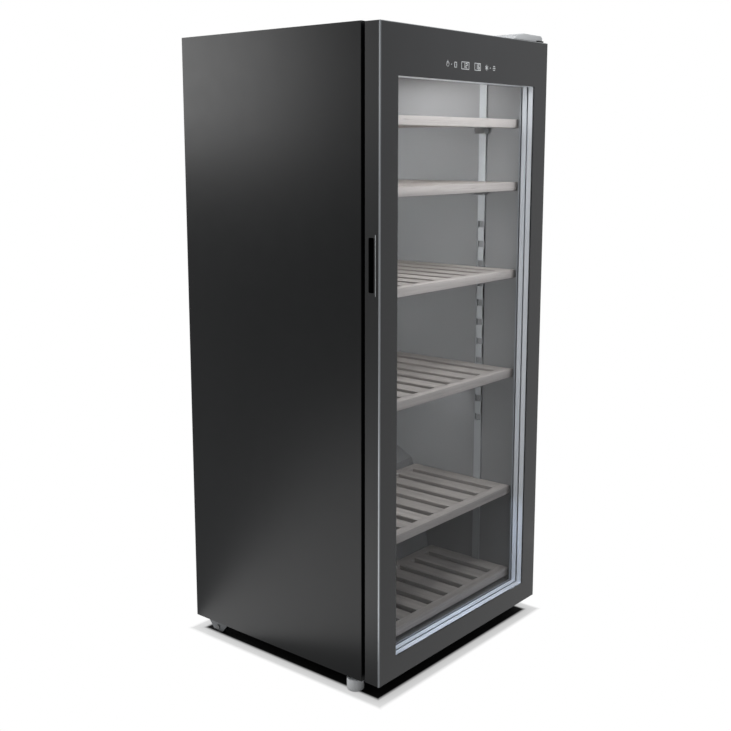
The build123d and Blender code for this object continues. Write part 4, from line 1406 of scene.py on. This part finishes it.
@dataclass
class ControlPrint(Assembly):
    """Printed signs and the two displays' figures on the top of the door."""

    line: float = 0.0008
    ink: float = 0.0001
    level: float = 1.2765
    digit_high: float = 0.0086
    digit_wide: float = 0.0048
    digit_pitch: float = 0.0084
    digit_line: float = 0.00096
    displays: tuple[tuple[float, float, str], ...] = ((-0.0255, 0.026, "12"), (0.019, 0.021, "16"))
    display_high: float = 0.014
    power_x: float = -0.0865
    power_radius: float = 0.0046
    power_stem: float = 0.0072
    dots: Flat = (-0.0735, 0.066)
    dot_half: float = 0.0003
    dot_wide: float = 0.0014
    key_x: float = -0.0595
    key_size: Flat = (0.0072, 0.0098)
    star_x: float = 0.0525
    star_reach: float = 0.0056
    star_lines: int = 3
    rows_x: float = 0.0805
    rows: tuple[Flat, ...] = ((-0.004, 0.0032), (0.0, 0.0048), (0.004, 0.0032))

    def build(self) -> None:
        """Print every sign as one thin mesh on the glass."""
        self.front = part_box("front_glass")[0].y - self.ink
        self.back = self.front + self.ink
        self.print = Shape()
        for x, wide, figures in self.displays:
            self.frame_sign(x, wide, self.display_high)
            for k, figure in enumerate(figures):
                self.figure(x + (k - (len(figures) - 1) / 2) * self.digit_pitch, figure)
        self.signs()
        self.print.piece("control_print", DOOR, "lamp_white", INK)

    def mark(self, start: Flat, stop: Flat, width: float = 0.0) -> None:
        """Print one line, with heights counted from the row's middle.

        Args:
            start: Its first end, as x and height.
            stop: Its other end.
            width: How wide it is, or 0 for the usual line.
        """
        first, last = ((x, rise + self.level) for x, rise in (start, stop))
        self.print.stroke(first, last, width or self.line, self.front, self.back)

    def frame_sign(self, x: float, wide: float, high: float) -> None:
        """Print an upright rectangle round a place in the row.

        Args:
            x: Middle of the rectangle.
            wide: Its width.
            high: Its height.
        """
        corners = [(-1, -1), (1, -1), (1, 1), (-1, 1)]
        spots = [(x + a * wide / 2, b * high / 2) for a, b in corners]
        for k, spot in enumerate(spots):
            self.mark(spot, spots[(k + 1) % 4])

    def figure(self, x: float, figure: str) -> None:
        """Print one seven-line figure.

        Args:
            x: Middle of the figure.
            figure: The figure to print.
        """
        half, tall = self.digit_wide / 2, self.digit_high / 2
        lines = {
            "a": ((-half, tall), (half, tall)),
            "b": ((half, tall), (half, 0.0)),
            "c": ((half, 0.0), (half, -tall)),
            "d": ((-half, -tall), (half, -tall)),
            "e": ((-half, 0.0), (-half, -tall)),
            "f": ((-half, tall), (-half, 0.0)),
            "g": ((-half, 0.0), (half, 0.0)),
        }
        for name in FIGURE_LINES[figure]:
            (x0, z0), (x1, z1) = lines[name]
            self.mark((x + x0, z0), (x + x1, z1), self.digit_line)

    def signs(self) -> None:
        """Print the plain signs beside the displays."""
        power = self.power_x
        self.print.hoop((power, self.level), self.power_radius, self.line, self.front, self.back)
        self.mark((power, 0.0), (power, self.power_stem))
        self.dot(self.dots[0])
        self.frame_sign(self.key_x, *self.key_size)
        for k in range(self.star_lines):
            turn = math.pi * k / self.star_lines + math.pi / 6
            reach = Vector((math.cos(turn), math.sin(turn))) * self.star_reach
            self.mark((self.star_x - reach.x, -reach.y), (self.star_x + reach.x, reach.y))
        self.dot(self.dots[1])
        for rise, half in self.rows:
            self.mark((self.rows_x - half, rise), (self.rows_x + half, rise))

    def dot(self, x: float) -> None:
        """Print a dot at a place in the row."""
        self.mark((x - self.dot_half, 0.0), (x + self.dot_half, 0.0), self.dot_wide)


@dataclass
class Machinery(Assembly):
    """The cooling machinery in the bay at the bottom of the back."""

    def dress(self) -> None:
        """Give the machinery's nodes their finishes."""
        self.coat(COMPRESSOR_BLACK, "compressor", "condenser")
        self.coat(PLASTIC_BLACK, "terminal_box", "drip_tray")
        self.coat(RUBBER, "rubber_mounts", "drain_tube")
        self.coat(COPPER, "filter_drier", "refrigerant_pipes")


@dataclass
class Footing(Assembly):
    """The two screw-in front feet and the two rear rollers."""

    def dress(self) -> None:
        """Give the feet and rollers their finishes."""
        self.coat(FOOT_GREY, "front_foot_left", "front_foot_right")
        self.coat(PLASTIC_BLACK, "roller_left", "roller_right")


# ---------------------------------------------------------------- studio


def seen_rays(tree: bpy.types.NodeTree) -> bpy.types.NodeSocket:
    """Tell whether a ray comes from the eye, directly, by a gloss or through glass.

    Args:
        tree: The node tree to add the test to.

    Returns:
        An output that is 1 for such a ray.
    """
    path = tree.nodes.new("ShaderNodeLightPath")
    seen = path.outputs["Is Camera Ray"]
    for name in ("Is Glossy Ray", "Is Transmission Ray"):
        either = tree.nodes.new("ShaderNodeMath")
        either.operation = "MAXIMUM"
        tree.links.new(seen, either.inputs[0])
        tree.links.new(path.outputs[name], either.inputs[1])
        seen = either.outputs[0]
    first = tree.nodes.new("ShaderNodeMath")
    first.operation = "LESS_THAN"
    first.inputs[1].default_value = 0.5
    tree.links.new(path.outputs["Diffuse Depth"], first.inputs[0])
    both = tree.nodes.new("ShaderNodeMath")
    both.operation = "MULTIPLY"
    tree.links.new(seen, both.inputs[0])
    tree.links.new(first.outputs[0], both.inputs[1])
    return both.outputs[0]


@dataclass(frozen=True)
class Light:
    """A soft rectangular light: where it stands, what it faces, its sides and power in watts.

    Roll and spread are in degrees. A light that names objects shines on those alone.
    """

    name: str
    place: Point
    aim: Point
    size: Flat
    power: float
    roll: float = 0.0
    only: tuple[str, ...] = ()
    spread: float = 180.0
    colour: str = "ffffff"

    def build(self) -> None:
        """Put the light in the scene, out of the camera's own sight."""
        data = bpy.data.lights.new(self.name, "AREA")
        data.shape = "RECTANGLE"
        data.size, data.size_y = self.size
        data.energy = self.power
        data.spread = math.radians(self.spread)
        data.color = linear(self.colour)[:3]
        lamp = bpy.data.objects.new(self.name, data)
        bpy.context.collection.objects.link(lamp)
        facing = (Vector(self.aim) - Vector(self.place)).to_track_quat("-Z", "Y")
        facing = facing @ Quaternion((0.0, 0.0, 1.0), math.radians(self.roll))
        lamp.matrix_world = Matrix.LocRotScale(Vector(self.place), facing, None)
        lamp.visible_camera = False
        lamp.visible_transmission = False
        if self.only:
            lit = bpy.data.collections.new(f"{self.name}_receivers")
            for name in self.only:
                lit.objects.link(bpy.data.objects[name])
            lamp.light_linking.receiver_collection = lit


GLAZING_LIT = ("spacer_bars", "glazing_beads")
GLAZING_Y = -0.2585
LINER_LIT = ("inner_liner", "shelf_strips_front_ladder", "shelf_strips_rear_ladder")


def wall_lamp(number: int, z: float, tall: float, power: float, y: float = 0.1) -> Light:
    """Light the liner in one bay between the shelves, from its left wall.

    Args:
        number: The bay, counted from the top.
        z: Height of the lamp's middle.
        tall: How tall the lamp is.
        power: Its power in watts.
        y: Where it stands from front to back.

    Returns:
        The lamp.
    """
    place, aim = (-0.245, y, z), (0.25, y, z)
    return Light(f"wall_lamp_{number}", place, aim, (0.06, tall), power, only=LINER_LIT)


def shelf_lamp(number: int, y: float, z: float, deep: float, power: float) -> Light:
    """Light one shelf's wood from above.

    Args:
        number: The shelf, counted from the bottom.
        y: Where the lamp stands from front to back.
        z: Its height.
        deep: Its length from front to back.
        power: Its power in watts.

    Returns:
        The lamp.
    """
    place, aim = (0.0, y, z), (0.0, y, 0.0)
    only = (f"shelf_{number}_wood",)
    return Light(f"shelf_lamp_{number}", place, aim, (0.46, deep), power, only=only)


@dataclass
class Studio:
    """Pale floor, soft lights, white surroundings and the camera."""

    floor_radius: float = 7.0
    floor_sides: int = 96
    floor_tone: str = "e6e6e6"
    floor_roughness: float = 0.9
    floor_specular: float = 0.1
    # The shadow under the object is painted on the floor: a ramp darkens it by distance from the
    # footprint.
    painted_shadow_reach: float = 0.08
    painted_shadow_steps: tuple[Flat, ...] = ((-0.018, 0.0), (-0.01, 0.5), (0.006, 0.56), (0.016, 1.0))
    ambient: float = 0.4
    lights: tuple[Light, ...] = (
        Light("key_light", (-0.2, 0.2, 3.3), (0.0, 0.0, 0.4), (3.0, 3.0), 50.0),
        Light("side_light", (-1.5, 1.78, 1.45), (-0.3, 0.3, 1.3), (1.0, 0.7), 25.0),
        Light("floor_light", (-1.43, 0.45, 0.004), (-1.43, 0.45, 1.0), (2.2, 0.86), 19.8, 30.0),
        Light("far_side_light", (1.5, 1.78, 1.45), (0.3, 0.3, 1.3), (1.0, 0.7), 16.0),
        Light("far_floor_light", (1.43, 0.45, 0.004), (1.43, 0.45, 1.0), (2.2, 0.86), 14.0, -30.0),
        Light("high_light", (0.0, -0.8, 1.72), (0.0, -0.2, 1.15), (0.5, 0.35), 1.5, spread=78.0),
        Light("cabinet_lamp", (0.0, 0.0, 1.276), (0.0, 0.0, 0.0), (0.42, 0.3), 1.5),
        wall_lamp(1, 1.255, 0.1, 0.62),
        wall_lamp(2, 1.096, 0.1, 2.0),
        wall_lamp(3, 0.925, 0.16, 1.6),
        wall_lamp(4, 0.71, 0.19, 1.08),
        wall_lamp(5, 0.46, 0.2, 0.66, y=0.03),
        Light(
            "sill_light",
            (0.0, GLAZING_Y, 0.3),
            (0.0, GLAZING_Y, 0.0),
            (0.34, 0.02),
            0.36,
            only=GLAZING_LIT,
            colour="d3e3fb",
        ),
        Light(
            "jamb_light",
            (-0.24, GLAZING_Y, 0.6),
            (0.25, GLAZING_Y, 0.6),
            (0.02, 0.8),
            0.8,
            only=GLAZING_LIT,
        ),
        Light(
            "duct_lamp",
            (0.0, -0.18, 1.1),
            (0.0, 0.17, 0.85),
            (0.44, 0.3),
            1.5,
            only=("duct_cover",),
        ),
        Light(
            "step_lamp",
            (0.0, -0.1, 0.55),
            (0.0, 0.16, 0.41),
            (0.44, 0.1),
            0.26,
            only=("inner_liner",),
        ),
        shelf_lamp(2, -0.06, 0.565, 0.26, 0.24),
        shelf_lamp(3, -0.02, 0.8, 0.32, 0.19),
        shelf_lamp(4, -0.02, 1.0, 0.32, 0.2),
    )
    lens: float = 52.63
    sensor: float = 36.0
    nearest: float = 0.01
    shift_up: float = -0.055
    yaw: float = 50.204
    pitch: float = 9.437
    stand: Point = (-1.8591, -1.5407, 1.1128)

    def build(self) -> None:
        """Set up the whole studio."""
        self.floor()
        self.surroundings()
        for light in self.lights:
            light.build()
        self.camera()
        bpy.context.scene.view_settings.view_transform = "Standard"

    def floor(self) -> None:
        """Lay a round floor that the camera sees as white, with a shadow painted under and round
        the object.
        """
        mesh = bmesh.new()
        bmesh.ops.create_circle(
            mesh, cap_ends=True, segments=self.floor_sides, radius=self.floor_radius
        )
        data = bpy.data.meshes.new("studio_floor")
        mesh.to_mesh(data)
        mesh.free()
        sheet = ShaderSheet("studio_floor")
        inputs = sheet.shader.inputs
        inputs["Roughness"].default_value = self.floor_roughness
        inputs["Specular IOR Level"].default_value = self.floor_specular
        white = sheet.add("ShaderNodeEmission", Color=WHITE, Strength=1.0)
        painted_shadow = self.painted_contact_shadow(sheet)
        tone = linear(self.floor_tone)[:3]
        # The painted shadow darkens both the floor's own colour and its white to the eye.
        sheet.feed(inputs["Base Color"], sheet.reckon("MULTIPLY", painted_shadow, tone, vectors=True))
        share = sheet.reckon("MULTIPLY", painted_shadow, seen_rays(sheet.material.node_tree))
        mix = sheet.add("ShaderNodeMixShader", Fac=share)
        sheet.links.new(sheet.shader.outputs[0], mix.inputs[1])
        sheet.links.new(white.outputs[0], mix.inputs[2])
        sheet.links.new(mix.outputs[0], sheet.nodes["Material Output"].inputs["Surface"])
        data.materials.append(sheet.material)
        floor = bpy.data.objects.new("studio_floor", data)
        bpy.context.collection.objects.link(floor)
        floor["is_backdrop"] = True

    def painted_contact_shadow(self, sheet: ShaderSheet) -> bpy.types.NodeSocket:
        """Paint a shadow on the floor: 1 on the open floor, less near the object's edge and 0 far
        under it.

        Args:
            sheet: The floor's node sheet.

        Returns:
            The output.
        """
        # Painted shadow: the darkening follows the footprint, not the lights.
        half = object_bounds()[1]
        spot = sheet.reckon("ABSOLUTE", sheet.object_place, vectors=True)
        past = sheet.reckon("SUBTRACT", spot, (half.x, half.y, 0.0), vectors=True)
        axes = sheet.add("ShaderNodeSeparateXYZ", Vector=past).outputs
        edge = sheet.reckon("MAXIMUM", axes["X"], axes["Y"])
        reach = self.painted_shadow_reach
        run = sheet.add("ShaderNodeMapRange", Value=edge, From_Min=-reach, From_Max=reach)
        ramp = sheet.add("ShaderNodeValToRGB", Fac=run.outputs["Result"])
        stops = ramp.color_ramp.elements
        while len(stops) < len(self.painted_shadow_steps):
            stops.new(0.5)
        for stop, (place, white) in zip(stops, self.painted_shadow_steps):
            stop.position = (place + reach) / (2 * reach)
            stop.color = (white, white, white, 1.0)
        return ramp.outputs["Color"]

    def surroundings(self) -> None:
        """Make the world white to the eye and dim as a light."""
        world = bpy.data.worlds.new("studio_world")
        bpy.context.scene.world = world
        world.use_nodes = True
        nodes, links = world.node_tree.nodes, world.node_tree.links
        strength = nodes.new("ShaderNodeMapRange")
        strength.inputs["To Min"].default_value = self.ambient
        strength.inputs["To Max"].default_value = 1.0
        links.new(seen_rays(world.node_tree), strength.inputs["Value"])
        background = nodes["Background"]
        background.inputs["Color"].default_value = WHITE
        links.new(strength.outputs["Result"], background.inputs["Strength"])

    def camera(self) -> None:
        """Stand the camera at the photograph's viewing angle."""
        data = bpy.data.cameras.new("studio_camera")
        data.sensor_width = self.sensor
        data.lens = self.lens
        data.shift_y = self.shift_up
        data.clip_start = self.nearest
        camera = bpy.data.objects.new("studio_camera", data)
        camera.location = self.stand
        camera.rotation_euler = (math.radians(90 - self.pitch), 0.0, math.radians(-self.yaw))
        bpy.context.collection.objects.link(camera)
        bpy.context.scene.camera = camera


ASSEMBLIES: tuple[type[Assembly], ...] = (
    SteelCase,
    Interior,
    ShelfStrips,
    RearLouvres,
    ScrewHeads,
    WoodShelves,
    GlassDoor,
    ControlPrint,
    Machinery,
    Footing,
)


def main() -> None:
    """Dress the frame, add the pieces and set up the studio."""
    logging.basicConfig(level=logging.INFO, format="%(name)s: %(message)s")
    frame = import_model()
    assemblies = [kind(frame) for kind in ASSEMBLIES]
    for assembly in assemblies:
        assembly.dress()
    for assembly in assemblies:
        assembly.build()
    Studio().build()


if __name__ == "__main__":
    main()
